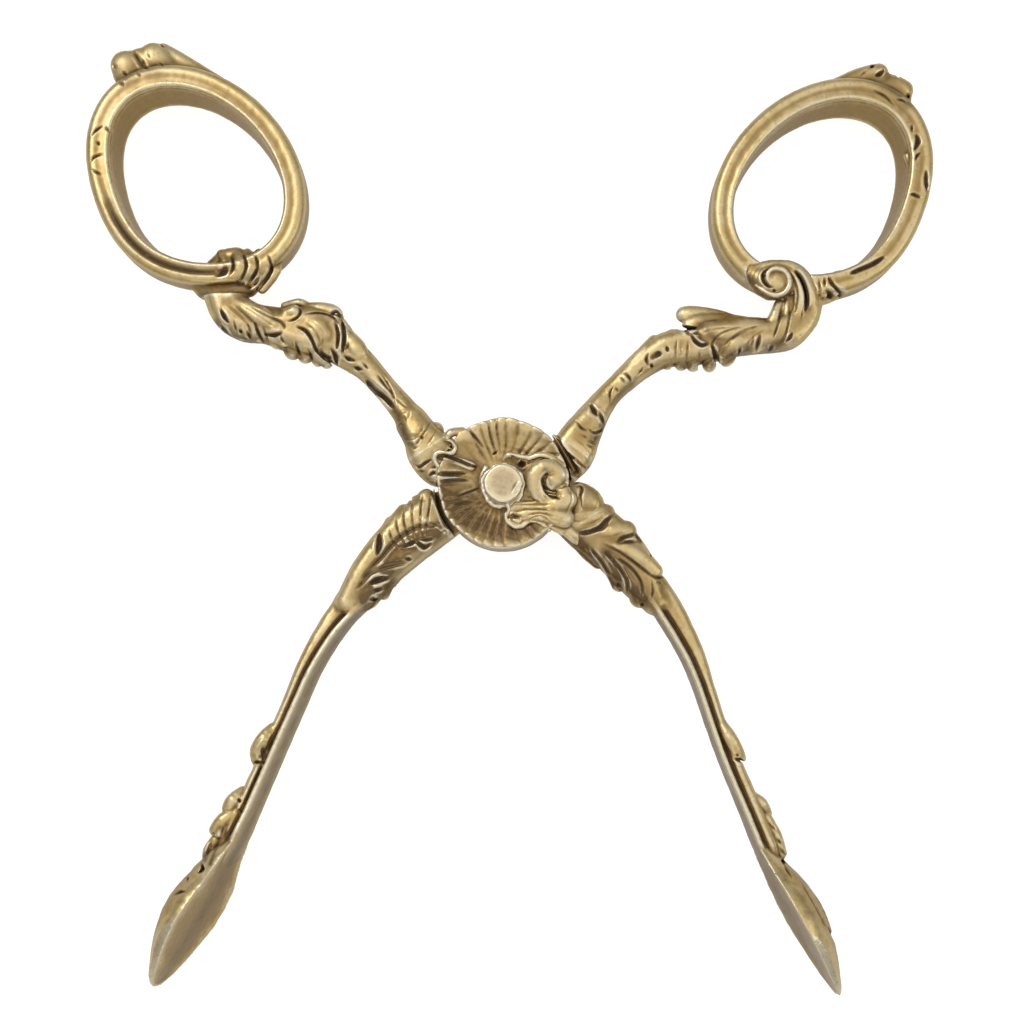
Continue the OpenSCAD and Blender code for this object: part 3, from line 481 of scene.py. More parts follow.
CARVING["stem_right"] = [
    ("bar", 0.4, 1.3, [(-16.01, 34.57, 3.3, 1.37, 2.3), (-16.25, 32.8, 3.3, 1.69, 2.4),
        (-15.69, 30.86, 3.4, 1.9, 2.5), (-14.43, 29.41, 3.4, 1.69, 2.5), (-12.78, 28.2, 3.4, 1.8, 2.5),
        (-10.95, 26.87, 3.4, 2.06, 2.5), (-9.41, 25.13, 3.4, 2.01, 2.5), (-7.87, 23.54, 3.4, 1.9, 2.5),
        (-6.11, 21.97, 3.4, 1.74, 2.4), (-5.11, 20.02, 3.3, 1.53, 2.2), (-4.41, 17.61, 3.3, 1.32, 2),
        (-3.83, 15.02, 3.3, 1.21, 1.95), (-3.64, 12.82, 3.3, 1.43, 2.2), (-3.65, 10.88, 3.4, 1.74, 2.4),
        (-3.75, 9.01, 3.4, 2.11, 2.5), (-3.93, 7.21, 3.4, 2.38, 2.5), (-3.77, 5.17, 3.4, 2.11, 2.3)]),
    ("add", 0.25, 0.6, [(-14.03, 29.98, 4, 1.06), (-11.89, 28.2, 4.2, 1.48), (-9.36, 26.77, 4.3, 1.58),
        (-7.04, 25.96, 4.2, 1.27)]),
    ("add", 0.12, 0.6, [(-12.65, 29.74, 3.9, 0.63), (-10.95, 28.55, 4.2, 0.74), (-9.07, 27.74, 4.4, 0.95),
        (-7.23, 26.9, 4.5, 1), (-6.05, 26.29, 4.5, 0.95), (-5.6, 25.98, 4.4, 0.84)]),
    ("add", 0.1, 0.6, [(-12.67, 29.13, 4.2, 0.84), (-9.87, 27.58, 4.7, 1.06), (-7.6, 26.18, 4.8, 1),
        (-6.86, 25.5, 4.7, 0.95)]),
    ("add", 0.1, 0.6, [(-13.14, 28.67, 4.4, 0.84), (-10.87, 27.08, 5, 1.06), (-9.43, 25.6, 5, 1),
        (-9.09, 24.92, 4.9, 0.84)]),
    ("carve", 0.15, 0.36, [(-6.11, 24.7), (-7.54, 25.25), (-9.29, 26.58), (-11.14, 27.81)], 3),
    ("carve", 0.15, 0.36, [(-7.6, 24.55), (-8.61, 25.57), (-10.19, 26.78), (-12.04, 28.01)], 3),
    ("stain", 0.42, 0.8, [(-6.09, 24.44), (-7.68, 24.73), (-9.25, 24.25)]),
    ("add", 0.2, 0.6, [(-12.92, 29.2, 4, 0.84), (-10.6, 27.77, 4.2, 1.06), (-8.6, 26.31, 4.3, 1.06),
        (-7.64, 25.39, 4.1, 0.74)]),
    ("add", 0.1, 0.65, [(-13.51, 29.69, 5, 0.84), (-11.96, 28.25, 5.3, 1.16), (-10.48, 26.76, 5.4, 1.27),
        (-8.85, 25.66, 5.3, 1.16), (-8.24, 24.83, 5.1, 0.9)]),
    ("add", 0.1, 0.65, [(-12.62, 27.98, 5.2, 1.06), (-11.63, 26.32, 5.3, 1.27), (-11.27, 25.09, 4.9, 1.16),
        (-11.42, 24.52, 4.5, 0.84)]),
    ("add", 0.1, 0.7, [(-14.26, 29.18, 5.2, 0.84), (-13.77, 27.81, 4.9, 0.95), (-13.69, 27.16, 4.4, 0.63)]),
    ("add", 0.08, 0.8, [(-13.87, 34.24, 5.1, 0.37), (-14.94, 33.14, 5.2, 0.42), (-16.08, 31.71, 5, 0.48),
        (-16.49, 30.43, 4.5, 0.48)]),
    ("add", 0.08, 0.8, [(-13.78, 33.41, 5.1, 0.42), (-14.73, 31.79, 5.2, 0.58), (-15.33, 30.09, 5, 0.69),
        (-15.62, 28.78, 4.4, 0.58)]),
    ("add", 0.08, 0.8, [(-13.38, 32.41, 5.1, 0.53), (-13.8, 30.75, 5.2, 0.69), (-14.17, 28.94, 5, 0.74),
        (-14.7, 28.09, 4.5, 0.53)]),
    ("add", 0.08, 0.85, [(-11.33, 25.66, 4.7, 0.74), (-11.96, 24.9, 4.4, 0.84), (-12.06, 24.42, 4, 0.63)]),
    ("add", 0.08, 0.85, [(-10.25, 24.72, 4.7, 0.74), (-10.53, 23.59, 4.3, 0.84),
        (-10.86, 22.98, 3.9, 0.69)]),
    ("add", 0.08, 0.85, [(-8.72, 23.92, 4.9, 0.74), (-9.1, 22.82, 4.6, 0.84), (-9.39, 22.09, 4.1, 0.74)]),
    ("add", 0.08, 0.85, [(-7.11, 23.89, 4.8, 0.74), (-7.73, 22.37, 4.8, 0.84), (-8.27, 21.49, 4, 0.74)]),
    ("add", 0.08, 0.85, [(-5.85, 23.32, 4.7, 0.74), (-6.53, 21.7, 4.8, 0.84), (-6.98, 20.75, 4, 0.74)]),
    ("add", 0.08, 0.8, [(-4.61, 21.76, 4.5, 0.74), (-4.39, 19.77, 4.7, 0.84), (-4.1, 18.3, 4.6, 0.74)]),
    ("add", 0.08, 0.8, [(-4.45, 18.54, 4.6, 0.63), (-4.23, 16.57, 4.7, 0.74), (-3.97, 14.89, 4.5, 0.63)]),
    ("add", 0.08, 0.8, [(-3.71, 13.95, 4.5, 0.74), (-3.76, 12.13, 4.8, 0.95), (-4.03, 10.79, 4.7, 0.84)]),
    ("add", 0.08, 0.8, [(-3.79, 10.39, 4.6, 0.95), (-4.04, 8.48, 4.8, 1.27), (-4.36, 7.44, 4.7, 1.27)]),
    ("carve", 0.1, 0.16, [(-14.03, 33.36), (-15.08, 31.59), (-15.75, 29.69), (-15.82, 28.59)], 3),
    ("carve", 0.1, 0.16, [(-13.62, 32.59), (-14.34, 30.67), (-14.88, 28.71)], 3),
    ("carve", 0.15, 0.36, [(-16.17, 30.54), (-16.26, 29.9), (-16.2, 29.29)], 3),
    ("carve", 0.17, 0.36, [(-15.19, 28.37), (-15.28, 27.74)], 3),
    ("carve", 0.18, 0.31, [(-13.43, 28.52), (-13.79, 27.59), (-14.13, 26.75)], 3),
    ("carve", 0.1, 0.16, [(-12.95, 28), (-13.56, 26.64)], 3),
    ("carve", 0.14, 0.31, [(-12.49, 26.14), (-12.7, 25.56)], 3),
    ("carve", 0.1, 0.13, [(-12.91, 29.19), (-11.61, 27.39), (-10.79, 24.87)], 3),
    ("carve", 0.1, 0.16, [(-11.47, 28.11), (-10.15, 26.38), (-9.8, 24.84), (-10.57, 24.22)], 3),
    ("carve", 0.09, 0.1, [(-12.38, 28.3), (-11.38, 26.44), (-11.55, 24.86)], 3),
    ("carve", 0.09, 0.08, [(-13.67, 29.19), (-12.98, 27.64), (-13.09, 26.08)], 3),
    ("carve", 0.09, 0.08, [(-10.8, 27.48), (-9.2, 26.27), (-8.41, 25.05)], 3),
    ("carve", 0.18, 0.42, [(-9.87, 24.62), (-10.74, 24.06), (-11.76, 23.46)], 3),
    ("carve", 0.15, 0.42, [(-7.33, 24.4), (-8.23, 23.98), (-9.08, 24.03), (-9.53, 24.71)], 3),
    ("carve", 0.18, 0.42, [(-5.57, 24.39), (-6.6, 24.57), (-7.58, 25.44)], 3),
    ("carve", 0.13, 0.26, [(-6.57, 24.42), (-7.44, 24.24)], 3),
    ("carve", 0.18, 0.42, [(-9.78, 22.3), (-10.45, 22.24)], 3),
    ("carve", 0.21, 0.42, [(-7.65, 20.74), (-8.21, 20.47)], 3),
    ("cut", 0.06, 1, [(-5.45, 20.14, 5.7, 0.36), (-5.71, 20.7, 5.7, 0.38)]),
    ("carve", 0.13, 0.26, [(-4.76, 20.3), (-5, 19.56), (-5.67, 19.11)], 3),
    ("carve", 0.15, 0.36, [(-5.58, 19.47), (-6.07, 19.29)], 3),
    ("carve", 0.14, 0.31, [(-5.93, 21.92), (-6.52, 21.41)], 3),
    ("carve", 0.1, 0.13, [(-7.5, 23.72), (-8.12, 22.6), (-8.74, 21.48)], 3),
    ("carve", 0.1, 0.13, [(-6.43, 23.26), (-6.96, 22.07), (-7.63, 21.24)], 3),
    ("carve", 0.1, 0.13, [(-9.14, 23.54), (-9.64, 22.59)], 3),
    ("carve", 0.09, 0.08, [(-7.01, 23.14), (-7.98, 21.48)], 3),
    ("carve", 0.13, 0.26, [(-3.78, 17.18), (-4.52, 17.03), (-5.13, 16.68)], 3),
    ("carve", 0.1, 0.18, [(-3.67, 16.59), (-4.66, 16.24)], 3),
    ("carve", 0.1, 0.23, [(-3.68, 15.43), (-3.8, 14.48), (-4.48, 13.66)], 3),
    ("carve", 0.1, 0.16, [(-3.83, 15.4), (-4.53, 15.1)], 3),
    ("carve", 0.1, 0.18, [(-5.23, 18.82), (-5.18, 17.75)], 3),
    ("carve", 0.22, 0.47, [(-2.65, 12.4), (-3.47, 11.93), (-4.11, 11.72)], 3),
    ("carve", 0.17, 0.36, [(-3.76, 12.25), (-4.58, 11.78), (-5.1, 11.37)], 3),
    ("carve", 0.1, 0.26, [(-3.95, 10.08), (-4.76, 9.99), (-5.19, 10.67), (-5.08, 11.22)], 3),
    ("carve", 0.1, 0.21, [(-2.43, 10.08), (-3.34, 9.67), (-4.12, 9.82)], 3),
    ("carve", 0.1, 0.16, [(-4.56, 8.98), (-5.78, 9.04)], 3),
    ("carve", 0.1, 0.16, [(-4.62, 8.51), (-5.78, 8.66)], 3),
    ("carve", 0.09, 0.1, [(-3.6, 9.1), (-4.82, 9.16)], 3),
    ("carve", 0.08, 0.05, [(-3.31, 8.4), (-5.23, 8.16), (-6.34, 7.64)], 3),
    ("carve", 0.08, 0.05, [(-3.14, 7.52), (-5.06, 7.29), (-6.34, 6.88)], 3),
    ("carve", 0.15, 0.47, [(-11.84, 33.2), (-11.29, 33.09), (-10.55, 33.36), (-10.19, 34.01),
        (-10.36, 34.7)], 3),
    ("carve", 0.11, 0.26, [(-10.13, 33.71), (-10.6, 33.77)], 3),
    ("carve", 0.13, 0.31, [(-11.98, 32.98), (-12.3, 33.07)], 3),
    ("carve", 0.2, 0.47, [(-12.69, 36.08), (-13.72, 35.75), (-14.7, 35.12), (-15.52, 34.25),
        (-16.12, 33.12)], 3),
    ("carve", 0.1, 0.16, [(-12.31, 35.64), (-13.48, 35.01), (-14.51, 33.91), (-15.31, 32.32)], 3),
    ("carve", 0.09, 0.13, [(-15.6, 33.54), (-16.28, 32.01)], 3),
    # Painted shadow under the right ring's volute and foot
    ("stain", 0.53, 0.7, [(-6, 33.9), (-8.28, 33.11), (-10.48, 32.42), (-12.24, 32.44), (-13.45, 33.34)]),
    ("stain", 0.32, 0.5, [(-12.93, 36.48), (-14.86, 35.45), (-16.24, 33.53)]),
    ("stain", 0.63, 0.6, [(-13.3, 26.34), (-11.47, 23.95), (-9.2, 21.65), (-7.1, 19.47)]),
    ("stain", 0.53, 0.5, [(-7.8, 25.79), (-10.11, 25.31), (-11.19, 24.78)]),
    ("stain", 0.53, 0.6, [(-5.08, 11.45), (-5.09, 9.16)]),
    ("stain", 0.53, 0.4, [(-5.18, 16.64), (-4.61, 13.69)]),
    ("stain", 0.63, 0.6, [(-16.08, 29.62), (-15.19, 27.95)]),
]

CARVING["arm_right"] = [
    ("bar", 0.4, 1.2, [(2.53, -1.29, 3.8, 1.69, 1.7), (3.79, -3.28, 3.6, 2.22, 2.2),
        (4.85, -5.56, 3.6, 2.64, 2.4), (5.65, -8.28, 3.5, 2.75, 2.5), (6.66, -11.26, 3.4, 2.64, 2.5),
        (7.1, -14.14, 3.4, 2.43, 2.5), (7.17, -16.41, 3.4, 2.01, 2.4), (7.3, -18.59, 3.3, 1.37, 2.2)]),
    ("add", 0.1, 0.75, [(4.58, -3.93, 5, 1.27), (6.02, -4.98, 5.3, 1.58), (6.73, -6.02, 5.2, 1.53),
        (6.95, -6.88, 5, 1.16)]),
    ("add", 0.1, 0.75, [(5.17, -6.54, 5.2, 1.37), (6.54, -7.51, 5.2, 1.27), (7.75, -7.98, 4.9, 0.95)]),
    ("add", 0.1, 0.75, [(5.32, -9.09, 5.1, 0.95), (7.25, -9.93, 5.3, 1.16), (8.52, -10.69, 5, 1.11)]),
    ("add", 0.1, 0.75, [(5.76, -10.73, 5.3, 0.84), (7.3, -12.19, 5.4, 1.06), (8.27, -14.01, 5.3, 1.06),
        (8.87, -15.83, 5, 0.84)]),
    ("add", 0.08, 0.8, [(3.26, -7.28, 4.6, 0.84), (3.72, -8.92, 4.6, 0.84), (4.01, -10.45, 4.5, 0.84),
        (4.38, -11.88, 4, 0.74)]),
    ("add", 0.08, 0.8, [(4.72, -10.06, 4.9, 0.63), (5.05, -12.11, 4.9, 0.84), (5.14, -13.98, 4.5, 0.84),
        (5.03, -15, 4, 0.84)]),
    ("add", 0.08, 0.8, [(5.67, -11.28, 5.1, 0.63), (6.11, -13.53, 5.2, 0.84), (6.29, -15.83, 5, 0.95),
        (6.16, -17.31, 4.3, 1.16)]),
    ("add", 0.06, 0.9, [(7.49, -14.64, 5.4, 0.34), (7.55, -16.14, 5.3, 0.36), (7.18, -17.36, 5, 0.36),
        (6.39, -18.09, 4.6, 0.36)]),
    ("add", 0.06, 1, [(8.08, -16.47, 5.3, 0.23), (7.89, -17.57, 5.2, 0.24), (7.13, -18.43, 4.9, 0.23)]),
    ("carve", 0.13, 0.26, [(6.38, -4.11), (6.81, -4.2), (6.8, -4.62), (6.18, -5.22), (5.79, -5.84),
        (5.11, -6.15), (4.36, -6.18)], 3),
    ("carve", 0.09, -0.07, [(5.97, -3.98), (5.48, -5.16), (4.58, -5.83), (3.89, -6.14)], 3),
    ("carve", 0.17, 0.36, [(3.94, -8.23), (4.97, -8.75), (6.08, -8.94), (7.17, -8.76), (8.32, -8.49)], 3),
    ("carve", 0.21, 0.26, [(5.57, -8.98), (6.45, -9.15), (7.25, -9.03)], 3),
    ("carve", 0.15, 0.31, [(6.99, -11.21), (7.66, -11.13), (8.62, -11.36), (9.14, -11.31)], 3),
    ("carve", 0.13, 0.26, [(9.15, -11.31), (9.14, -11.91), (9.18, -12.43)], 3),
    ("carve", 0.13, 0.23, [(7.03, -11.35), (8.08, -11.82), (9.08, -12.38)], 3),
    ("carve", 0.12, 0.21, [(5.61, -10.48), (6.59, -12.06), (7.33, -13.62), (7.92, -15.21), (8.51, -16.43),
        (9.3, -16.92)], 3),
    ("carve", 0.1, 0.18, [(8.35, -16.92), (8.82, -17.34)], 3),
    ("carve", 0.14, 0.21, [(9.15, -14.25), (9.47, -14.32)], 3),
    ("carve", 0.13, 0.26, [(4.26, -9.96), (4.62, -12.14), (4.59, -13.96)], 3),
    ("carve", 0.13, 0.26, [(5.34, -10.99), (5.71, -12.94), (5.81, -14.96), (5.15, -16.39)], 3),
    ("carve", 0.11, 0.23, [(6.13, -12.46), (6.86, -14.26), (6.97, -16.04), (6.32, -17.48)], 3),
    ("carve", 0.1, 0.18, [(8.02, -16.33), (7.53, -17.49), (6.8, -18.27)], 3),
    ("carve", 0.2, 0.31, [(4.89, -14.72), (4.82, -15.42)], 3),
    ("carve", 0.18, 0.31, [(5.91, -17.81), (5.96, -18.33)], 3),
    ("carve", 0.09, 0.1, [(3.8, -9.53), (4.14, -11.34)], 3),
    ("carve", 0.09, 0.08, [(5.5, -12.69), (5.4, -14.83)], 3),
    ("carve", 0.09, 0.08, [(6.29, -13.79), (6.3, -16.12)], 3),
    ("carve", 0.09, 0.05, [(3.55, -5.92), (4.86, -7.34), (6.61, -7.68), (7.76, -7.41)], 3),
    ("carve", 0.09, 0.05, [(4.11, -7.37), (5.58, -8.15), (7.03, -8.19)], 3),
    ("carve", 0.09, 0.05, [(6.21, -11.47), (7.42, -13.07), (8.34, -15.11)], 3),
    ("carve", 0.09, 0.06, [(5.76, -9.84), (7.28, -10.54), (8.56, -10.84)], 3),
    ("carve", 0.09, -0.04, [(7.95, -6.31), (7.16, -7.18), (5.9, -7.63), (4.98, -7.54)], 3),
    # Painted shade along the inner side of the leaf sheath
    ("stain", 0.95, 0.85, [(2.98, -6.9), (3.65, -9.4), (4.15, -12.55), (4.76, -15.13)]),
    ("stain", 0.95, 0.85, [(5.35, -11.81), (5.73, -14.75), (6.11, -17.69)]),
    ("stain", 0.53, 0.6, [(4.01, -8.03), (5.55, -8.73), (7.24, -8.79)]),
    ("stain", 0.32, 0.7, [(7.19, -11.23), (8.77, -11.46), (9.21, -12.35)]),
    ("add", 0.12, 0.8, [(6.38, -32.98, 4.6, 0.53), (6.29, -34.61, 5, 0.74), (6.17, -36.25, 4.6, 0.74),
        (6.22, -37.03, 4.2, 0.53)]),
    ("carve", 0.14, 0.36, [(5.38, -36.58), (5.94, -37.05), (6.34, -37.78)], 3),
    ("carve", 0.11, 0.26, [(5.85, -36.38), (6.14, -36.68)], 3),
    ("add", 0.12, 0.8, [(5.21, -41.11, 4.4, 0.53), (5.53, -42.15, 4.4, 0.63), (5.59, -43.31, 4, 0.42)]),
    ("add", 0.12, 0.8, [(5.11, -43.59, 4.4, 0.63), (4.93, -45.66, 4.2, 0.74), (4.55, -47.51, 3.9, 0.63)]),
    ("carve", 0.09, 0.21, [(5.01, -43.93), (5.34, -45.34)], 3),
    ("carve", 0.11, 0.26, [(4.85, -45.78), (5.11, -46.9)], 3),
    ("carve", 0.11, 0.26, [(4.65, -46.85), (4.81, -48.15)], 3),
    ("carve", 0.17, 0.31, [(4, -47.89), (4.31, -48.56)], 3),
    ("carve", 0.11, 0.16, [(4.12, -48.16), (3.95, -49.01), (3.92, -49.82)], 3),
    ("carve", 0.15, 0.16, [(4.37, -55.73), (4.41, -56.83), (4.39, -58.01)], 3),
    ("carve", 0.08, 0.1, [(4.48, -50.58), (4.35, -53.48), (4.13, -55.73)], 3),
    ("carve", 0.07, 0.08, [(5.22, -51.1), (5.09, -54.01), (4.69, -56.15)], 3),
]

CARVING["arm_left"] = [
    ("bar", 0.4, 1.2, [(3.23, -4.89, 3.3, 2.32, 2.3), (4.2, -6.83, 3.4, 2.64, 2.5),
        (5.01, -8.65, 3.4, 2.75, 2.5), (5.58, -10.82, 3.4, 2.75, 2.5), (6.08, -13.45, 3.4, 2.53, 2.5),
        (6.35, -16.42, 3.4, 2.22, 2.4), (6.68, -18.93, 3.4, 1.48, 2.3)]),
    ("add", 0.2, 0.6, [(5.14, -5.34, 4.9, 0.95), (4.82, -6.92, 5.2, 1.37), (4.58, -8.77, 5.1, 1.37)]),
    ("add", 0.2, 0.6, [(6.42, -6.45, 4.9, 0.95), (6.09, -8.03, 5.2, 1.27), (5.27, -9.24, 5.1, 1.27)]),
    ("add", 0.2, 0.6, [(7.17, -7.96, 4.8, 0.84), (6.84, -9.54, 5.1, 1.16), (5.68, -10.52, 5, 1.16)]),
    ("add", 0.15, 0.6, [(7.52, -9.7, 4.7, 0.84), (7.07, -11.45, 5, 0.95), (6.3, -12.95, 4.9, 0.95)]),
    ("add", 0.1, 0.7, [(7.32, -12.6, 4.7, 0.63), (6.95, -14.63, 4.7, 0.74), (6.71, -17.23, 4.5, 0.74)]),
    ("carve", 0.08, 0.18, [(5.78, -4.88), (4.75, -6.96), (3.81, -9.09)], 3),
    ("carve", 0.08, 0.18, [(6.56, -5.4), (5.44, -7.42), (4.15, -9.33)], 3),
    ("carve", 0.08, 0.18, [(7.13, -6.42), (6.02, -8.06), (4.47, -9.79)], 3),
    ("carve", 0.08, 0.18, [(7.38, -7.72), (6.35, -9.05), (4.64, -10.28)], 3),
    ("carve", 0.08, 0.18, [(7.54, -8.96), (6.4, -10.09), (4.75, -10.86)], 3),
    ("carve", 0.08, 0.18, [(7.56, -10.23), (6.45, -11.12), (4.89, -11.58)], 3),
    # Painted shade along the inner side of the leaf sheath
    ("stain", 1.06, 0.95, [(2.8, -6.56), (3.77, -9.23), (4.91, -11.27), (5.18, -14.22), (5.38, -17.63)]),
    ("stain", 0.84, 0.7, [(3.96, -14.91), (4.46, -16.76), (4.91, -18.32)]),
    ("stain", 0.32, 0.8, [(5.55, -4.35), (3.97, -5.57), (2.1, -6.85)]),
    ("add", 0.1, 0.7, [(7.48, -12.72, 4.8, 0.84), (7.52, -15.27, 4.8, 0.84), (7.45, -17.99, 4.6, 0.74)]),
    ("add", 0.1, 0.8, [(3.48, -7.03, 5.2, 0.63), (3.29, -8.43, 5.2, 0.63), (3.77, -9.98, 4.9, 0.53)]),
    ("add", 0.1, 0.8, [(3.88, -9.81, 5, 0.63), (4.46, -11.2, 4.9, 0.63), (4.7, -12.36, 4.7, 0.53)]),
    ("add", 0.1, 0.8, [(4.43, -12.41, 4.4, 0.63), (3.85, -11.77, 4.4, 0.63), (4.04, -12.64, 4.2, 0.63)]),
    ("add", 0.1, 0.8, [(4.02, -13.39, 4.3, 0.63), (4.29, -14.85, 4.4, 0.63), (4.13, -16.24, 4.1, 0.63)]),
    ("add", 0.1, 0.8, [(4.7, -16.12, 4.3, 0.63), (4.81, -17.46, 4.2, 0.74), (5.18, -18.45, 3.9, 0.63)]),
    ("carve", 0.26, 0.62, [(8.06, -11.19), (7.35, -12.22), (6.82, -13.37)], 3),
    ("carve", 0.24, 0.62, [(5.89, -16.25), (5.35, -15.38), (4.43, -14.51)], 3),
    ("carve", 0.21, 0.52, [(4.34, -9.81), (3.29, -9.87), (2.84, -9.05)], 3),
    ("carve", 0.13, 0.31, [(4.27, -9.53), (3.35, -9.03), (2.75, -8.25)], 3),
    ("carve", 0.17, 0.42, [(5.31, -11.35), (4.57, -10.22), (4.34, -9.81)], 3),
    ("carve", 0.17, 0.36, [(4.35, -12.05), (3.51, -11.62)], 3),
    ("carve", 0.17, 0.42, [(5.18, -16.76), (4.38, -15.72)], 3),
    ("carve", 0.17, 0.42, [(4.9, -17.57), (4.32, -16.93)], 3),
    ("carve", 0.24, 0.26, [(3.25, -6.95), (4.86, -8.29), (5.78, -9.91), (6.23, -11.47), (6.55, -13.95),
        (6.88, -16.42)], 3),
    ("carve", 0.21, 0.21, [(3.64, -11.97), (5.14, -13.48), (6.34, -15.04), (6.67, -17.52)], 3),
    ("carve", 0.13, 0.26, [(7.41, -6.42), (7.12, -6.48)], 3),
    ("carve", 0.09, 0.1, [(5.05, -6.15), (4.74, -7.71)], 3),
    ("carve", 0.13, 0.31, [(5.48, -4.4), (3.79, -5.79), (2.21, -7)], 3),
    ("add", 0.12, 0.8, [(5.94, -34.26, 4.4, 0.53), (6, -35.53, 4.8, 0.74), (5.84, -36.92, 4.6, 0.84),
        (5.39, -37.89, 4, 0.63)]),
    ("carve", 0.21, 0.26, [(5.52, -36.41), (5.2, -36.69), (4.77, -37.14)], 3),
    ("stain", 0.42, 0.8, [(5.37, -36.59), (4.91, -37.26)]),
    ("carve", 0.14, 0.36, [(5.62, -38.24), (4.36, -37.51)], 3),
    ("carve", 0.13, -0.1, [(6.09, -37.04), (5.99, -35.74), (5.33, -35.42)], 3),
    ("carve", 0.11, 0.31, [(4.58, -38.01), (4.25, -40.13), (3.8, -42.42)], 3),
    ("add", 0.12, 0.8, [(4.91, -41.28, 4.2, 0.42), (5.07, -42.6, 4.6, 0.74), (5.05, -43.59, 4.4, 0.63)]),
    ("carve", 0.11, 0.26, [(4.77, -42.09), (4.17, -42.42)], 3),
    ("carve", 0.17, 0.42, [(4.19, -43.3), (3.53, -42.98)], 3),
    ("add", 0.12, 0.8, [(4.13, -43.46, 4.4, 0.63), (4.76, -44.86, 4.6, 0.74), (4.88, -46.19, 4.4, 0.63)]),
    ("stain", 0.42, 0.8, [(4.35, -45.53), (3.34, -46.08)]),
    ("carve", 0.13, 0.36, [(4.84, -46.58), (4.16, -46.12)], 3),
    ("add", 0.1, 0.9, [(4.48, -45.39, 4.8, 0.42), (4.27, -46.24, 4.8, 0.42)]),
    ("add", 0.12, 0.8, [(4.25, -47.04, 4, 0.63), (4.35, -48.34, 4, 0.53), (4.07, -49.17, 3.8, 0.42)]),
    ("carve", 0.15, 0.23, [(4.62, -47.31), (4.27, -48.18), (4.04, -48.88)], 3),
    ("stain", 0.32, 0.7, [(4.42, -47.79), (3.98, -48.97)]),
    ("stain", 0.26, 0.6, [(3.91, -46.71), (3.15, -48.9)]),
    ("add", 0.12, 0.8, [(3.62, -49.29, 4.4, 0.53), (3.8, -50.61, 4.6, 0.74)]),
    ("carve", 0.15, 0.42, [(4, -49.55), (3.45, -49.79), (3.65, -50.41)], 3),
    ("carve", 0.11, 0.21, [(4.42, -53.6), (3.97, -52.81), (3.43, -52.33)], 3),
    ("carve", 0.1, 0.21, [(4.35, -51.36), (4.03, -51.64)], 3),
]

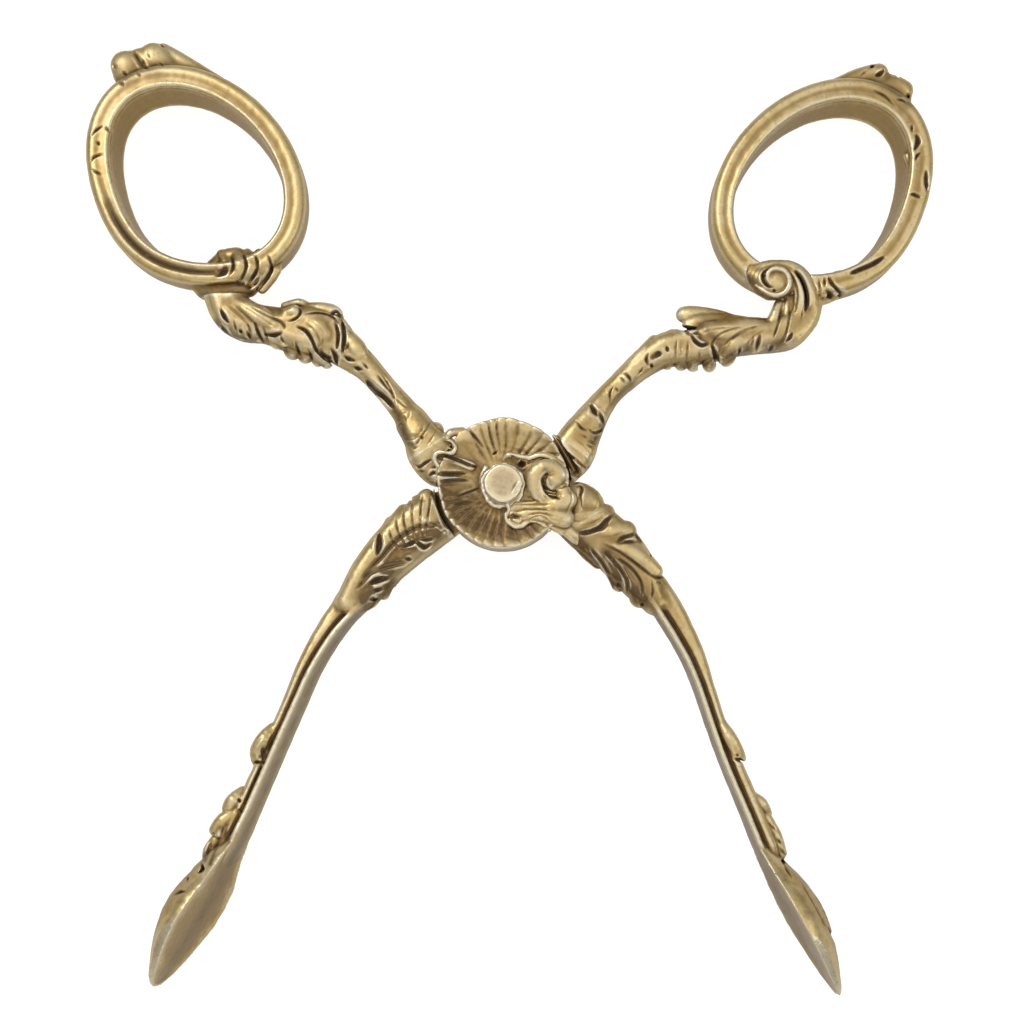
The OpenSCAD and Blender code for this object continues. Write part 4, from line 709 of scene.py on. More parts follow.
CARVING["finger_ring_left"] = [
    ("add", 0.35, 0.5, [(-10.49, 57.54, 4.1, 1.27), (-10.72, 58.76, 4.3, 1.69),
        (-10.56, 60.05, 4.4, 1.58)]),
    ("add", 0.35, 0.45, [(-9.16, 57.84, 4.2, 1.06), (-9.06, 58.99, 4.4, 1.27), (-8.98, 59.98, 4.4, 1.06)]),
    ("add", 0.35, 0.5, [(-6.03, 55.17, 4.1, 0.95), (-7.13, 57.45, 4.3, 1.37), (-7.55, 59.23, 4.4, 1.58)]),
    ("add", 0.3, 0.6, [(-7.76, 56.92, 4, 0.95), (-8.58, 57.96, 4.3, 1.16), (-9.4, 58.47, 4.3, 1.16)]),
    ("add", 0.3, 0.8, [(-6.29, 59.42, 3.9, 0.84), (-5.26, 57.4, 3.8, 0.95), (-4.17, 55.51, 3.6, 0.84),
        (-2.9, 53.51, 3.4, 0.63), (-1.81, 51.58, 3.3, 0.42)]),
    ("carve", 0.17, 0.26, [(-9.06, 61.08), (-9.05, 60.04), (-9.01, 58.86), (-8.67, 57.75)], 3),
    ("carve", 0.11, 0.26, [(-8.75, 59.57), (-8.78, 58.69)], 3),
    ("carve", 0.15, 0.18, [(-6.17, 60.15), (-6.05, 59.3)], 3),
    ("carve", 0.17, 0.21, [(-11.63, 60.73), (-11.6, 59.94)], 3),
    ("carve", 0.14, 0.18, [(-12.05, 58.47), (-11.75, 57.51)], 3),
    ("carve", 0.11, 0.31, [(-11.26, 59.35), (-10.93, 58.64)], 3),
    ("carve", 0.09, 0.16, [(-9.98, 58.53), (-9.71, 57.33)], 3),
    ("carve", 0.09, 0.13, [(-7.32, 58.43), (-7.15, 57.04)], 3),
    ("carve", 0.09, 0.13, [(-7.96, 59.85), (-7.86, 58.76)], 3),
    ("stain", 0.95, 0.35, [(-11.09, 59.75), (-11, 57.39)]),
    ("stain", 0.74, 0.3, [(-9.31, 58.14), (-8.3, 56.49)]),
    ("add", 0.1, 0.8, [(-17.33, 55.8, 3.8, 0.53), (-16.58, 54.67, 5, 0.53), (-15.63, 54.45, 5.4, 0.37)]),
    ("add", 0.1, 0.8, [(-18.11, 54.48, 3.8, 0.53), (-17.54, 53.47, 5, 0.58), (-16.77, 53.44, 5.2, 0.42)]),
    ("add", 0.1, 0.8, [(-19, 52.98, 3.8, 0.53), (-18.43, 51.97, 5, 0.58), (-17.77, 51.75, 5.2, 0.42)]),
    ("add", 0.1, 0.8, [(-19.3, 51.59, 3.9, 0.42), (-18.91, 50.74, 5, 0.42)]),
    ("carve", 0.13, 0.26, [(-15.81, 54.81), (-15.64, 54.06)], 3),
    ("carve", 0.11, 0.26, [(-17.55, 54.75), (-16.77, 55.03), (-16, 55.07)], 3),
    ("carve", 0.11, 0.26, [(-19.08, 52.37), (-18.44, 52.62), (-17.55, 52.45)], 3),
    ("carve", 0.1, 0.21, [(-19.43, 51.57), (-19.09, 51.1), (-18.81, 50.55)], 3),
    ("carve", 0.1, 0.21, [(-17.37, 53.93), (-17.32, 53.39)], 3),
    ("carve", 0.29, 0.52, [(-14.13, 34.89), (-13.2, 34.82), (-12.6, 35.2)], 3),
    ("add", 0.3, 0.8, [(-17.99, 38.47, 4.1, 0.63), (-16.26, 36.34, 4.3, 0.74), (-14.38, 34.87, 4.5, 0.79),
        (-12.47, 34.28, 4.7, 0.74), (-11.38, 34.81, 4.9, 0.53)]),
    ("add", 0.15, 0.9, [(-13.72, 36.22, 3.6, 1.06), (-12.25, 36.43, 4.2, 0.95),
        (-11.06, 35.89, 4.4, 0.95)]),
    ("add", 0.2, 0.9, [(-12.09, 35.11, 4, 1.58), (-10.64, 34.16, 4.2, 1.8), (-9.37, 33.46, 3.9, 1.48)]),
    ("add", 0.1, 0.8, [(-12.39, 36.97, 4.4, 0.53), (-12.47, 35.84, 5, 0.53), (-13.1, 35.27, 4.8, 0.42)]),
    ("add", 0.1, 0.8, [(-11.02, 36.32, 4.6, 0.53), (-11.23, 34.66, 5.6, 0.63), (-12.45, 33.76, 5.2, 0.53)]),
    ("add", 0.1, 0.8, [(-9.99, 35.58, 4.5, 0.53), (-10.35, 33.9, 5.5, 0.63), (-11.94, 32.97, 5.1, 0.53)]),
    ("add", 0.1, 0.8, [(-8.95, 34.87, 4.3, 0.63), (-9.37, 33.13, 5.2, 0.74), (-11.39, 32.22, 4.9, 0.53)]),
    ("add", 0.1, 0.8, [(-7.89, 33.99, 4.2, 0.53), (-8.35, 32.43, 4.6, 0.63), (-10.64, 31.46, 4.3, 0.53)]),
    ("carve", 0.11, 0.31, [(-11.61, 36.18), (-11.86, 34.95), (-12.88, 34.07)], 3),
    ("carve", 0.11, 0.31, [(-10.39, 35.55), (-10.8, 34.04), (-12.24, 33.06)], 3),
    ("carve", 0.11, 0.31, [(-9.36, 34.79), (-9.86, 33.34), (-11.65, 32.35)], 3),
    ("carve", 0.11, 0.26, [(-8.22, 33.89), (-8.82, 32.41), (-11.13, 31.51)], 3),
    ("carve", 0.31, 0.47, [(-14.95, 33.29), (-13.27, 32.77), (-11.8, 32.75)], 3),
    ("carve", 0.18, 0.36, [(-13.37, 32.59), (-11.39, 32.15), (-10.25, 32.43)], 3),
    ("add", 0.4, 0.9, [(-16.07, 35.63, 3.6, 0.95), (-15.5, 34.54, 3.5, 1.27), (-14.17, 33.85, 3.5, 1.58),
        (-12.46, 32.94, 3.5, 1.48), (-11.03, 32.82, 3.5, 1.06)]),
    ("slab", -14.65, 33.02, -0.47, -0.88),
    # Painted shadow at the ring's foot, where it meets the stem
    ("stain", 0.84, 0.6, [(-16.69, 34.15), (-14.51, 32.82), (-12.15, 31.69)]),
    ("stain", 0.63, 0.5, [(-14.56, 33.59), (-12.04, 32.82), (-9.96, 32.56)]),
]

CARVING["finger_ring_right"] = [
    ("add", 0.4, 0.85, [(-4.71, 55.42, 3.3, 0.63), (-6.03, 56.9, 3.5, 0.95), (-7.28, 58.46, 3.7, 1.11),
        (-8.47, 59.76, 3.8, 1.06)]),
    ("add", 0.4, 0.85, [(-9.13, 58.05, 3.5, 1.27), (-10.32, 59.31, 3.7, 1.27), (-11.64, 59.62, 3.8, 1.16)]),
    ("add", 0.4, 0.85, [(-8.3, 57.76, 3.5, 1.06), (-10.09, 58.13, 3.6, 1.27), (-12.17, 58.47, 3.6, 1.16)]),
    ("stain", 0.74, 0.45, [(-8.92, 58.65), (-11.47, 58.26), (-12.77, 57.81)]),
    ("add", 0.2, 0.9, [(-11.58, 58.6, 3.6, 0.84), (-13.43, 57.68, 3.7, 0.84), (-16.04, 55.97, 3.8, 0.84),
        (-18.03, 53.84, 3.9, 0.74), (-18.89, 51.52, 3.9, 0.63)]),
    ("add", 0.1, 0.8, [(-11.05, 57.86, 4.6, 0.42), (-12.89, 56.84, 5, 0.42), (-13.99, 55.77, 4.9, 0.32)]),
    ("add", 0.1, 0.8, [(-16.09, 53.51, 4.9, 0.53), (-17.76, 52.21, 5.1, 0.58), (-18.54, 50.73, 4.8, 0.42)]),
    ("carve", 0.15, 0.47, [(-7.38, 59.39), (-7.7, 60.26)], 3),
    ("carve", 0.18, 0.52, [(-8.33, 59.02), (-8.65, 59.5), (-8.8, 60.26)], 3),
    ("carve", 0.14, 0.36, [(-10.16, 60.67), (-10.72, 60.39)], 3),
    ("carve", 0.17, 0.47, [(-12.26, 59.19), (-12.74, 59.24)], 3),
    ("carve", 0.11, 0.31, [(-11.62, 57.68), (-12.21, 57.94), (-12.83, 57.97)], 3),
    ("carve", 0.2, 0.52, [(-15.39, 55.68), (-16.04, 55.07), (-16.22, 54.01)], 3),
    ("carve", 0.11, 0.31, [(-16.9, 54.34), (-16.78, 53.73), (-16.9, 53.16)], 3),
    ("carve", 0.11, 0.26, [(-14.45, 56.36), (-14.98, 55.54)], 3),
    ("carve", 0.18, 0.47, [(-18.4, 53.03), (-19.1, 51.94), (-19.78, 51.09)], 3),
    ("carve", 0.14, 0.36, [(-18.39, 49.86), (-18.89, 50.07), (-19.6, 50.15)], 3),
    ("carve", 0.1, 0.16, [(-8.99, 57.11), (-10.41, 57.28), (-11.88, 56.96)], 3),
    ("carve", 0.1, 0.16, [(-7.2, 59.19), (-7.06, 58.04)], 3),
    ("add", 0.12, 0.9, [(-18.34, 39.3, 4.2, 0.95), (-17.22, 38.23, 4.4, 1.06), (-16.76, 37.84, 4.2, 0.74)]),
    ("add", 0.12, 0.9, [(-15.65, 35.84, 3.5, 1.58), (-16.59, 36.74, 3.5, 1.48),
        (-17.42, 37.84, 3.4, 1.27)]),
    ("carve", 0.17, 0.42, [(-17.81, 39.09), (-18.36, 39.98), (-19.24, 41.34), (-19.83, 42.77)], 3),
    ("carve", 0.14, 0.42, [(-15.99, 37.61), (-16.96, 37.1), (-18.01, 37.03), (-19.24, 37.47)], 3),
    ("carve", 0.25, 0.47, [(-16.56, 36.28), (-17.79, 36.33)], 3),
    ("carve", 0.11, 0.21, [(-15.24, 36.87), (-16.11, 35.91), (-16.73, 34.77)], 3),
    ("carve", 0.11, 0.21, [(-15.65, 37.4), (-16.44, 36.38)], 3),
]

CARVING["volute"] = [
    ("add", 0.12, 0.75, [(-9.18, 34.01, 5.3, 0.48), (-9.91, 34.77, 5.5, 0.63), (-10.96, 35.65, 5.6, 0.63),
        (-12.31, 36.27, 5.7, 0.69), (-13.74, 36.2, 5.7, 0.74), (-15.18, 35.41, 5.5, 0.74),
        (-16.21, 34.13, 5.1, 0.79), (-16.71, 32.66, 4.7, 0.74), (-16.69, 31.06, 4.3, 0.69),
        (-16.42, 29.79, 4, 0.53)]),
    ("add", 0.1, 0.75, [(-10.76, 35.38, 5.6, 0.53), (-12.13, 35.74, 5.8, 0.63), (-13.51, 35.37, 5.8, 0.69),
        (-14.68, 34.38, 5.7, 0.69), (-15.46, 33.05, 5.4, 0.63), (-15.79, 31.77, 5, 0.58)]),
    ("add", 0.2, 0.6, [(-9.47, 33.59, 5.2, 1.06), (-10.82, 33.77, 5.5, 1.48), (-11.82, 34.15, 5.6, 1.69),
        (-12.23, 34.3, 5.6, 1.58)]),
    ("add", 0.15, 0.6, [(-8.82, 33.83, 5.1, 0.53), (-9.38, 33.54, 5.15, 0.84), (-10.22, 33.2, 5.2, 1.16),
        (-11.69, 33.25, 5.3, 1.16)]),
    ("add", 0.06, 0.9, [(-11.41, 33.46, 6.25, 0.25), (-10.81, 33.69, 6.3, 0.27), (-10.56, 34.33, 6.4, 0.29),
        (-10.88, 34.98, 6.45, 0.3), (-11.64, 35.36, 6.45, 0.32), (-12.47, 35.15, 6.45, 0.34),
        (-13.06, 34.46, 6.4, 0.34), (-13.19, 33.6, 6.35, 0.32), (-12.67, 32.86, 6.2, 0.3),
        (-11.66, 32.48, 6.1, 0.26), (-10.26, 32.58, 5.8, 0.23)]),
    ("add", 0.1, 0.7, [(-11.55, 34.24, 6.1, 0.63), (-12.2, 34.02, 6.1, 0.74)]),
]

CARVING["lap_boss_front"] = [
    ("bar", 0.5, 1.2, [(-1.69, 2.32, 3.8, 1.69, 1.7), (-3.28, 4.17, 3.8, 2.22, 2.1),
        (-4.15, 6, 3.5, 2.64, 2.4), (-4.5, 7.66, 3.5, 2.38, 2.5), (-4.47, 9.33, 3.5, 1.85, 2.5),
        (-4.5, 11.12, 3.4, 1.58, 2.3)]),
    ("add", 0.08, 0.75, [(-2.83, 8.87, 4.8, 0.84), (-4.44, 7.83, 5.1, 1.06), (-5.88, 7.51, 4.8, 0.95)]),
    ("add", 0.08, 0.75, [(-2.51, 7.34, 5.4, 0.74), (-3.98, 6.75, 5.4, 0.95)]),
    ("add", 0.08, 0.75, [(-3.9, 5.9, 5, 0.84), (-5.48, 6.16, 4.7, 0.84), (-6.24, 6.55, 4.4, 0.74)]),
    ("add", 0.08, 0.8, [(-4.54, 4.48, 4.6, 0.84), (-5.66, 5.09, 4.3, 0.63)]),
    ("carve", 0.13, 0.26, [(-6.64, 7.01), (-6.41, 6.37), (-5.57, 6.35), (-4.63, 6.27)], 3),
    ("carve", 0.11, 0.21, [(-6.72, 6.09), (-6.06, 5.56)], 3),
    ("carve", 0.15, 0.36, [(-6.15, 5), (-5.4, 5.03), (-4.89, 4.47)], 3),
    ("carve", 0.1, 0.13, [(-2.67, 9.86), (-4.44, 8.97), (-5.82, 8.33)], 3),
    ("carve", 0.1, 0.1, [(-2.58, 8.81), (-4.75, 7.67)], 3),
    ("carve", 0.11, 0.18, [(-6.13, 8.46), (-5.45, 8.16)], 3),
    ("carve", 0.1, 0.16, [(-4.4, 5.25), (-5.49, 5.68)], 3),
    ("carve", 0.1, 0.18, [(-4.62, 9.08), (-4.48, 8.5)], 3),
]

CARVING["lap_boss_back"] = [
    ("carve", 0.1, 0.26, [(-3.44, 6.69), (-5.07, 6.51), (-6.26, 6.43)], 3),
    ("carve", 0.11, 0.31, [(-6.11, 6.84), (-6.46, 6.69)], 3),
    ("carve", 0.1, 0.21, [(-5.47, 5.57), (-6.16, 5.27)], 3),
    ("cut", 0.08, 1, [(-0.95, 7.59, 5.4, 0.48), (-2.67, 6.71, 5.4, 0.53), (-4.42, 5.98, 5.4, 0.53),
        (-5.88, 5.31, 5.4, 0.48)]),
    ("cut", 0.08, 1, [(-0.91, 7.69, 4.6, 0.42), (-2.64, 6.81, 4.6, 0.48), (-4.39, 6.07, 4.6, 0.48),
        (-5.86, 5.4, 4.6, 0.42)]),
    ("add", 0.06, 1, [(-1.39, 7.56, 4.2, 0.21), (-3.21, 6.73, 4.2, 0.27), (-5.14, 5.74, 4.2, 0.25)]),
    ("bar", 0.4, 1.2, [(2.07, -2.83, 3.2, 1.48, 2), (3.23, -4.89, 3.3, 2.32, 2.3),
        (4.2, -6.83, 3.4, 2.64, 2.5), (4.89, -8.83, 3.4, 2.64, 2.5)]),
    ("add", 0.06, 0.9, [(5.67, -4.18, 5, 0.27), (4.34, -5.2, 5.1, 0.3), (2.94, -6.16, 5.1, 0.3),
        (1.81, -6.9, 4.9, 0.25)]),
    ("add", 0.08, 0.75, [(6.07, -5.46, 5, 0.95), (4.88, -6.46, 5.2, 0.95), (4.83, -7.67, 5, 0.95)]),
    ("carve", 0.13, 0.36, [(5.95, -4.46), (4.43, -5.59), (2.39, -7.12)], 3),
    ("carve", 0.12, 0.36, [(5.14, -4.17), (3.68, -5.21), (1.61, -6.59)], 3),
    ("carve", 0.1, 0.21, [(2.7, -7.79), (2.36, -7.18), (1.92, -7.65)], 3),
]

CARVING["shell_boss"] = [
    # Brown patina with a painted reflection of the dim surroundings over the lower half of the dished shell
    ("stain", 1.69, 0.85, [(-5.99, 0), (-4.89, -2.3), (-2.55, -3.93), (0.18, -4.51), (2.68, -4.04),
        (4.33, -2.54)]),
    ("stain", 0.95, 0.7, [(-3.45, -1.21), (-1.75, -2.23), (0.36, -2.83)]),
    ("stain", 0.53, 0.85, [(-2.04, 1.76), (-2.54, 0.28), (-1.87, -1.4), (-0.28, -2.21)]),
    ("stain", 0.53, 0.8, [(0.88, 2.67), (1.95, 1.84), (2.18, 0.37)]),
    ("stain", 0.74, 0.5, [(3.77, 5.47), (5.48, 4.02), (6.55, 2.56)]),
    ("stain", 0.74, 0.7, [(-6.48, 3.16), (-4.58, 2.56), (-2.67, 1.75)]),
    ("add", 0.12, 1, [(-4.4, 5.67, 6.3, 0.42), (-5.54, 5.42, 6.5, 0.48), (-5.95, 4.88, 6.5, 0.32)]),
    ("add", 0.12, 0.8, [(-5.72, 4.53, 6.8, 0.27), (-5.19, 4.12, 6.8, 0.27), (-5.08, 3.71, 6.8, 0.27),
        (-5.48, 3.28, 6.8, 0.3), (-6.32, 3.38, 6.7, 0.3), (-6.95, 3.28, 6.6, 0.3), (-7.25, 2.76, 6.5, 0.3),
        (-6.93, 2.13, 6.5, 0.27), (-6.71, 1.72, 6.5, 0.27), (-6.81, 1.2, 6.4, 0.25)]),
    ("add", 0.15, 0.7, [(-6.65, 3.04, 6, 0.42), (-5.39, 2.72, 6.2, 0.63), (-3.49, 2.04, 6.1, 0.63)]),
    ("add", 0.15, 0.7, [(-6.42, 2, 5.9, 0.42), (-4.95, 1.8, 6.1, 0.53)]),
    ("carve", 0.18, 0.57, [(-6.34, 4.31), (-5.71, 4.22), (-5.29, 3.7)], 4),
    ("carve", 0.1, 0.42, [(-6.64, 3.68), (-6.01, 3.58), (-5.39, 3.6)], 4),
    ("carve", 0.14, 0.36, [(-6.83, 3.04), (-6, 2.96), (-4.95, 2.66), (-3.69, 2.16), (-2.64, 1.87)], 3),
    ("carve", 0.11, -0.1, [(-6.62, 2.44), (-5.05, 2.16), (-3.06, 1.46)], 3),
    ("carve", 0.18, 0.26, [(-7.01, 1.08), (-5.55, 1.11), (-3.68, 1.25)], 3),
    ("carve", 0.15, 0.21, [(-6.57, 0.26), (-5.02, 0.5), (-3.45, 0.53)], 3),
    ("carve", 0.1, 0.21, [(-4.97, -1.31), (-3.42, -0.65), (-2.19, -0.11)], 3),
    ("carve", 0.14, 0.16, [(-5.47, -2.15), (-2.57, -1.58)], 3),
    ("carve", 0.11, 0.18, [(-3.77, 5.92), (-2.91, 4.89), (-2.06, 3.86)], 3),
    ("carve", 0.1, 0.21, [(-1.22, 3.18), (-0.6, 3.71)], 3),
    ("carve", 0.25, 0.52, [(1.51, 2.29), (2.34, 2.41)], 3),
]

CARVING["pin_collar"] = [
    ("add", 0.15, 0.7, [(-1.81, 1.81, 6.5, 0.32), (-2.11, 0.76, 6.5, 0.37), (-1.98, -0.49, 6.5, 0.37),
        (-1.44, -1.32, 6.5, 0.37), (-0.6, -1.72, 6.5, 0.32)]),
    ("stain", 1.27, 0.6, [(-1.41, 1.78), (-2.01, 0.29), (-1.14, -1.38), (0.54, -1.35)]),
    ("add", 0.08, 0.9, [(-1.54, -1.55, 6.7, 0.32), (-0.9, -2.06, 6.7, 0.32), (-0.28, -2.15, 6.7, 0.32)]),
    ("add", 0.08, 0.9, [(0.45, -1.95, 6.9, 0.26), (0.67, -2.57, 6.9, 0.26), (0.36, -2.98, 6.8, 0.26)]),
    ("carve", 0.09, 0.16, [(-2.01, 1.52), (-2.3, 0.68)], 3),
]

CARVING["pivot_pin"] = [
    ("add", 0.12, 0.8, [(1.06, -1.44, 8.3, 0.38), (1.25, -0.74, 8.6, 0.42), (1.75, 0, 8.5, 0.36)]),
    ("carve", 0.09, 0.13, [(0.84, -1.01), (1.14, -0.28), (1.64, 0.35)], 3),
    ("carve", 0.08, 0.1, [(1.16, -1.41), (1.55, -0.68)], 3),
]

CARVING["crest"] = [
    ("add", 0.15, 0.8, [(5.32, -4.7, 5.6, 1.37), (5.21, -6.07, 5.2, 1.37)]),
    ("add", 0.15, 0.8, [(4.96, -3.63, 6.8, 0.84), (4.66, -4.9, 6.6, 0.95), (3.6, -5.45, 6.4, 0.84)]),
    ("add", 0.12, 0.55, [(3.51, -3.98, 7, 0.53), (2.74, -3.05, 7.3, 0.69), (2.69, -1.84, 7.6, 0.79),
        (3.33, -0.91, 7.8, 0.84), (4.43, -0.69, 7.9, 0.84), (5.32, -1.22, 7.8, 0.74),
        (5.69, -2.22, 7.6, 0.63)]),
    ("add", 0.2, 0.5, [(4.28, -2.53, 7.3, 0.74), (4.94, -2.24, 7.5, 0.9), (5.39, -1.91, 7.6, 0.74)]),
    ("add", 0.1, 0.9, [(1.52, 2.29, 6.9, 0.26), (2.09, 2.4, 7.1, 0.32), (2.91, 1.76, 7.2, 0.27),
        (3.86, 0.93, 7.2, 0.27), (4.9, 0.64, 7.3, 0.37), (5.71, -0.23, 7.3, 0.42),
        (6.12, -1.33, 7.2, 0.42)]),
    ("add", 0.15, 0.7, [(0.01, -2.54, 6.8, 0.53), (1.77, -3.64, 6.9, 0.63), (3.64, -4.56, 7, 0.84),
        (4.94, -4.84, 6.8, 0.95)]),
    ("add", 0.15, 0.7, [(-0.76, -3.39, 6.6, 0.74), (0.86, -3.92, 6.8, 0.84), (2.39, -5, 6.9, 0.95),
        (3.61, -6.21, 6.6, 1.06)]),
    ("add", 0.12, 0.8, [(-1.31, -2.7, 6.8, 0.24), (-1.6, -3.38, 6.8, 0.26), (-1.26, -4.2, 6.8, 0.27),
        (-0.55, -4.64, 6.8, 0.26), (0.34, -4.58, 6.8, 0.24), (1.04, -5.01, 6.8, 0.24),
        (1.45, -5.74, 6.7, 0.24), (1.63, -6.45, 6.5, 0.24)]),
    ("add", 0.08, 0.9, [(-0.46, -2.5, 6.9, 0.32), (-0.88, -2.99, 7, 0.32)]),
    ("add", 0.08, 1, [(-0.88, -3.59, 6.9, 0.32), (-0.55, -4.04, 6.9, 0.32)]),
    ("add", 0.1, 0.8, [(2.96, -6.49, 6, 0.74), (3.5, -8.01, 5.6, 0.74), (3.98, -9.26, 5.2, 0.63)]),
    ("add", 0.1, 0.8, [(2.23, -6.07, 6.3, 0.53), (2.81, -7.13, 6, 0.53)]),
    ("carve", 0.14, 0.47, [(4.59, -1.4), (3.87, -1.68), (3.56, -2.47), (3.81, -3.23), (4.48, -3.52)], 3),
    ("stain", 0.32, 0.8, [(4.46, -1.13), (3.84, -1.74), (3.97, -2.93)]),
    ("carve", 0.11, 0.31, [(3.32, -2.49), (3.46, -3.43), (3.97, -3.99), (4.3, -4.44)], 3),
    ("carve", 0.08, 0.21, [(2.95, -3.09), (3.26, -3.77)], 3),
    ("carve", 0.08, 0.16, [(0.28, -2.5), (1.78, -3.43), (3.22, -4.44)], 3),
    ("carve", 0.08, 0.16, [(0, -2.94), (1.5, -3.87), (2.77, -4.77)], 3),
    ("carve", 0.09, 0.21, [(0.33, -4), (1.72, -4.49), (2.91, -5.72)], 3),
    ("carve", 0.08, 0.18, [(0.29, -4.45), (1.57, -4.75), (2.12, -5.83)], 3),
    ("carve", 0.2, 0.36, [(-1.4, -3.04), (-0.73, -3.34), (-0.08, -3.86)], 3),
    ("carve", 0.11, 0.26, [(2.23, 2.24), (2.6, 1.65)], 3),
    ("carve", 0.09, 0.21, [(4.56, -3.45), (5.48, -3.53), (6.3, -3.79)], 3),
    ("carve", 0.09, 0.16, [(5.63, -4.09), (5.26, -5.09), (4.07, -5.82)], 3),
]

# Inner face line of each arm in its lever's frame: x, y, lean in degrees, plate depth, rib width
ARM = {
    "arm_right": [
        (6.6, -17.5, 1, 2.2, 2.3), (6.65, -20.0, 2, 2.2, 2.3), (6.65, -22.5, 2, 2.25, 2.05),
        (6.5, -25.5, 2, 2.25, 1.75), (6.0, -28.5, 2, 2.25, 1.4), (4.95, -33.0, 2, 2.2, 1.3),
        (4.1, -37.1, 2, 2.2, 1.45), (3.3, -42.0, 3, 2.3, 1.5), (2.6, -46.0, 3, 2.5, 1.4),
        (2.35, -48.5, 4, 1.6, 0.9), (2.1, -51.0, 4, 0.4, 0.3),
    ],
    "arm_left": [
        (4.6, -17.5, 4, 2.2, 2.6), (5.3, -20.0, 6, 2.2, 2.2), (5.6, -23.0, 8, 2.3, 1.8),
        (5.4, -27.0, 9, 2.3, 1.5), (4.7, -31.0, 10, 2.3, 1.25), (3.8, -36.0, 11, 2.3, 1.2),
        (2.75, -41.5, 12, 2.3, 1.3), (2.0, -46.0, 13, 2.5, 1.3), (1.75, -48.5, 14, 1.6, 0.8),
        (1.35, -51.0, 15, 0.4, 0.3),
    ],
}
# Inner face line of each grip: x, y, lean in degrees, dome thickness, half depth
GRIP = {
    "arm_right": [
        (3.3, -42.0, 3, 0.4, 0.5), (2.6, -46.0, 3, 1.3, 2.6), (2.35, -48.5, 4, 2.2, 3.6),
        (2.1, -51.5, 4, 3.1, 5.0), (1.9, -54.5, 4, 3.3, 5.5), (1.75, -57.5, 4, 2.7, 5.0),
        (1.65, -60.0, 4, 1.9, 3.8), (1.62, -61.7, 4, 1.15, 2.7), (1.6, -62.6, 4, 0.7, 1.7),
        (1.6, -63.0, 4, 0.4, 0.9),
    ],
    "arm_left": [
        (2.75, -41.5, 12, 0.4, 0.5), (2.0, -46.0, 13, 1.3, 2.6), (1.75, -48.5, 14, 2.4, 3.6),
        (1.3, -51.5, 15, 3.3, 5.0), (1.15, -54.5, 16, 3.6, 5.5), (1.0, -57.5, 16, 3.0, 5.1),
        (0.9, -60.0, 16, 2.1, 3.9), (0.85, -61.7, 16, 1.3, 2.8), (0.82, -62.6, 16, 0.8, 1.7),
        (0.8, -63.0, 16, 0.4, 0.9),
    ],
}


def leaned(clay, rows, pad):
    """A window round rows of x, y, lean, ..., a picker of their columns, and the distances out and deep."""
    p = spline(rows)
    w = clay.window((*(p[:, :2].min(0) - pad), -6), (*(p[:, :2].max(0) + pad), 14))
    share, side = clay.flat_map(w, p[:, :2])
    at = share * (len(p) - 1)
    pick = lambda c: np.interp(at, np.arange(len(p)), p[:, c]).astype(np.float32)[:, :, None]
    lean = np.radians(pick(2))
    z = clay.axes[2][w[2]][None, None, :] - np.float32(MID)
    s = side[:, :, None]
    return w, pick, s * np.cos(lean) - z * np.sin(lean), s * np.sin(lean) + z * np.cos(lean)


def rounded(a, b, c):
    """Distance of a box's section with corners of radius c, from the two distances to its sides."""
    a, b = a + c, b + c
    return np.sqrt(np.maximum(a, 0) ** 2 + np.maximum(b, 0) ** 2) + np.minimum(np.maximum(a, b), 0) - c


def arm_stock(clay, name):
    """The bowed arm: a flat inner plate with a round rib along its back, and the spoon grip at its end."""
    w, pick, u, v = leaned(clay, ARM[name], 6)
    depth, rib = pick(3), pick(4)
    plate = rounded(np.abs(u - 0.3) - 0.32, np.abs(v) - depth, 0.22)
    clay.put(w, plate, 0.1)
    back = rounded(np.abs(u - 0.45 - rib / 2) - rib / 2 - 0.1, np.abs(v + 0.1) - (depth - 0.35), 0.75)
    clay.put(w, back, 0.12)
    groove = np.exp(-((u - 0.85) / 0.24) ** 2) * np.clip(v, 0, 1) * 0.34
    clay.f[w] += groove.astype(np.float32)
    w, pick, u, v = leaned(clay, GRIP[name], 8)
    dome, depth = pick(3), pick(4)
    r = np.sqrt((np.maximum(u, 0) / dome) ** 2 + (v / depth) ** 2)
    back = (r - 1) * np.minimum(dome, depth) * 0.9
    dish = 0.22 * np.clip(1.25 - (v / np.maximum(depth - 0.45, 0.1)) ** 2, 0, 1) ** 0.5
    y = clay.axes[1][w[1]][None, :, None]
    tip = GRIP_END - y
    grip = np.maximum(np.maximum(back, dish - u), tip + 0.35 * (v / 1.2) ** 2)
    clay.put(w, grip.astype(np.float32), 0.06)
    fade = np.clip((DISH_START - y) / 2.5, 0, 1)
    clay.f[w] = np.maximum(clay.f[w], np.where(fade > 0, dish * fade - u, -9)).astype(np.float32)
    # Painted shade and dim reflection along the inner faces of the arm and the grip
    clay.patina_and_shade_lines.append(([row[:2] for row in ARM[name]], 0.42, 0.5))
    clay.patina_and_shade_lines.append(([row[:2] for row in GRIP[name]], 0.5, 0.45))


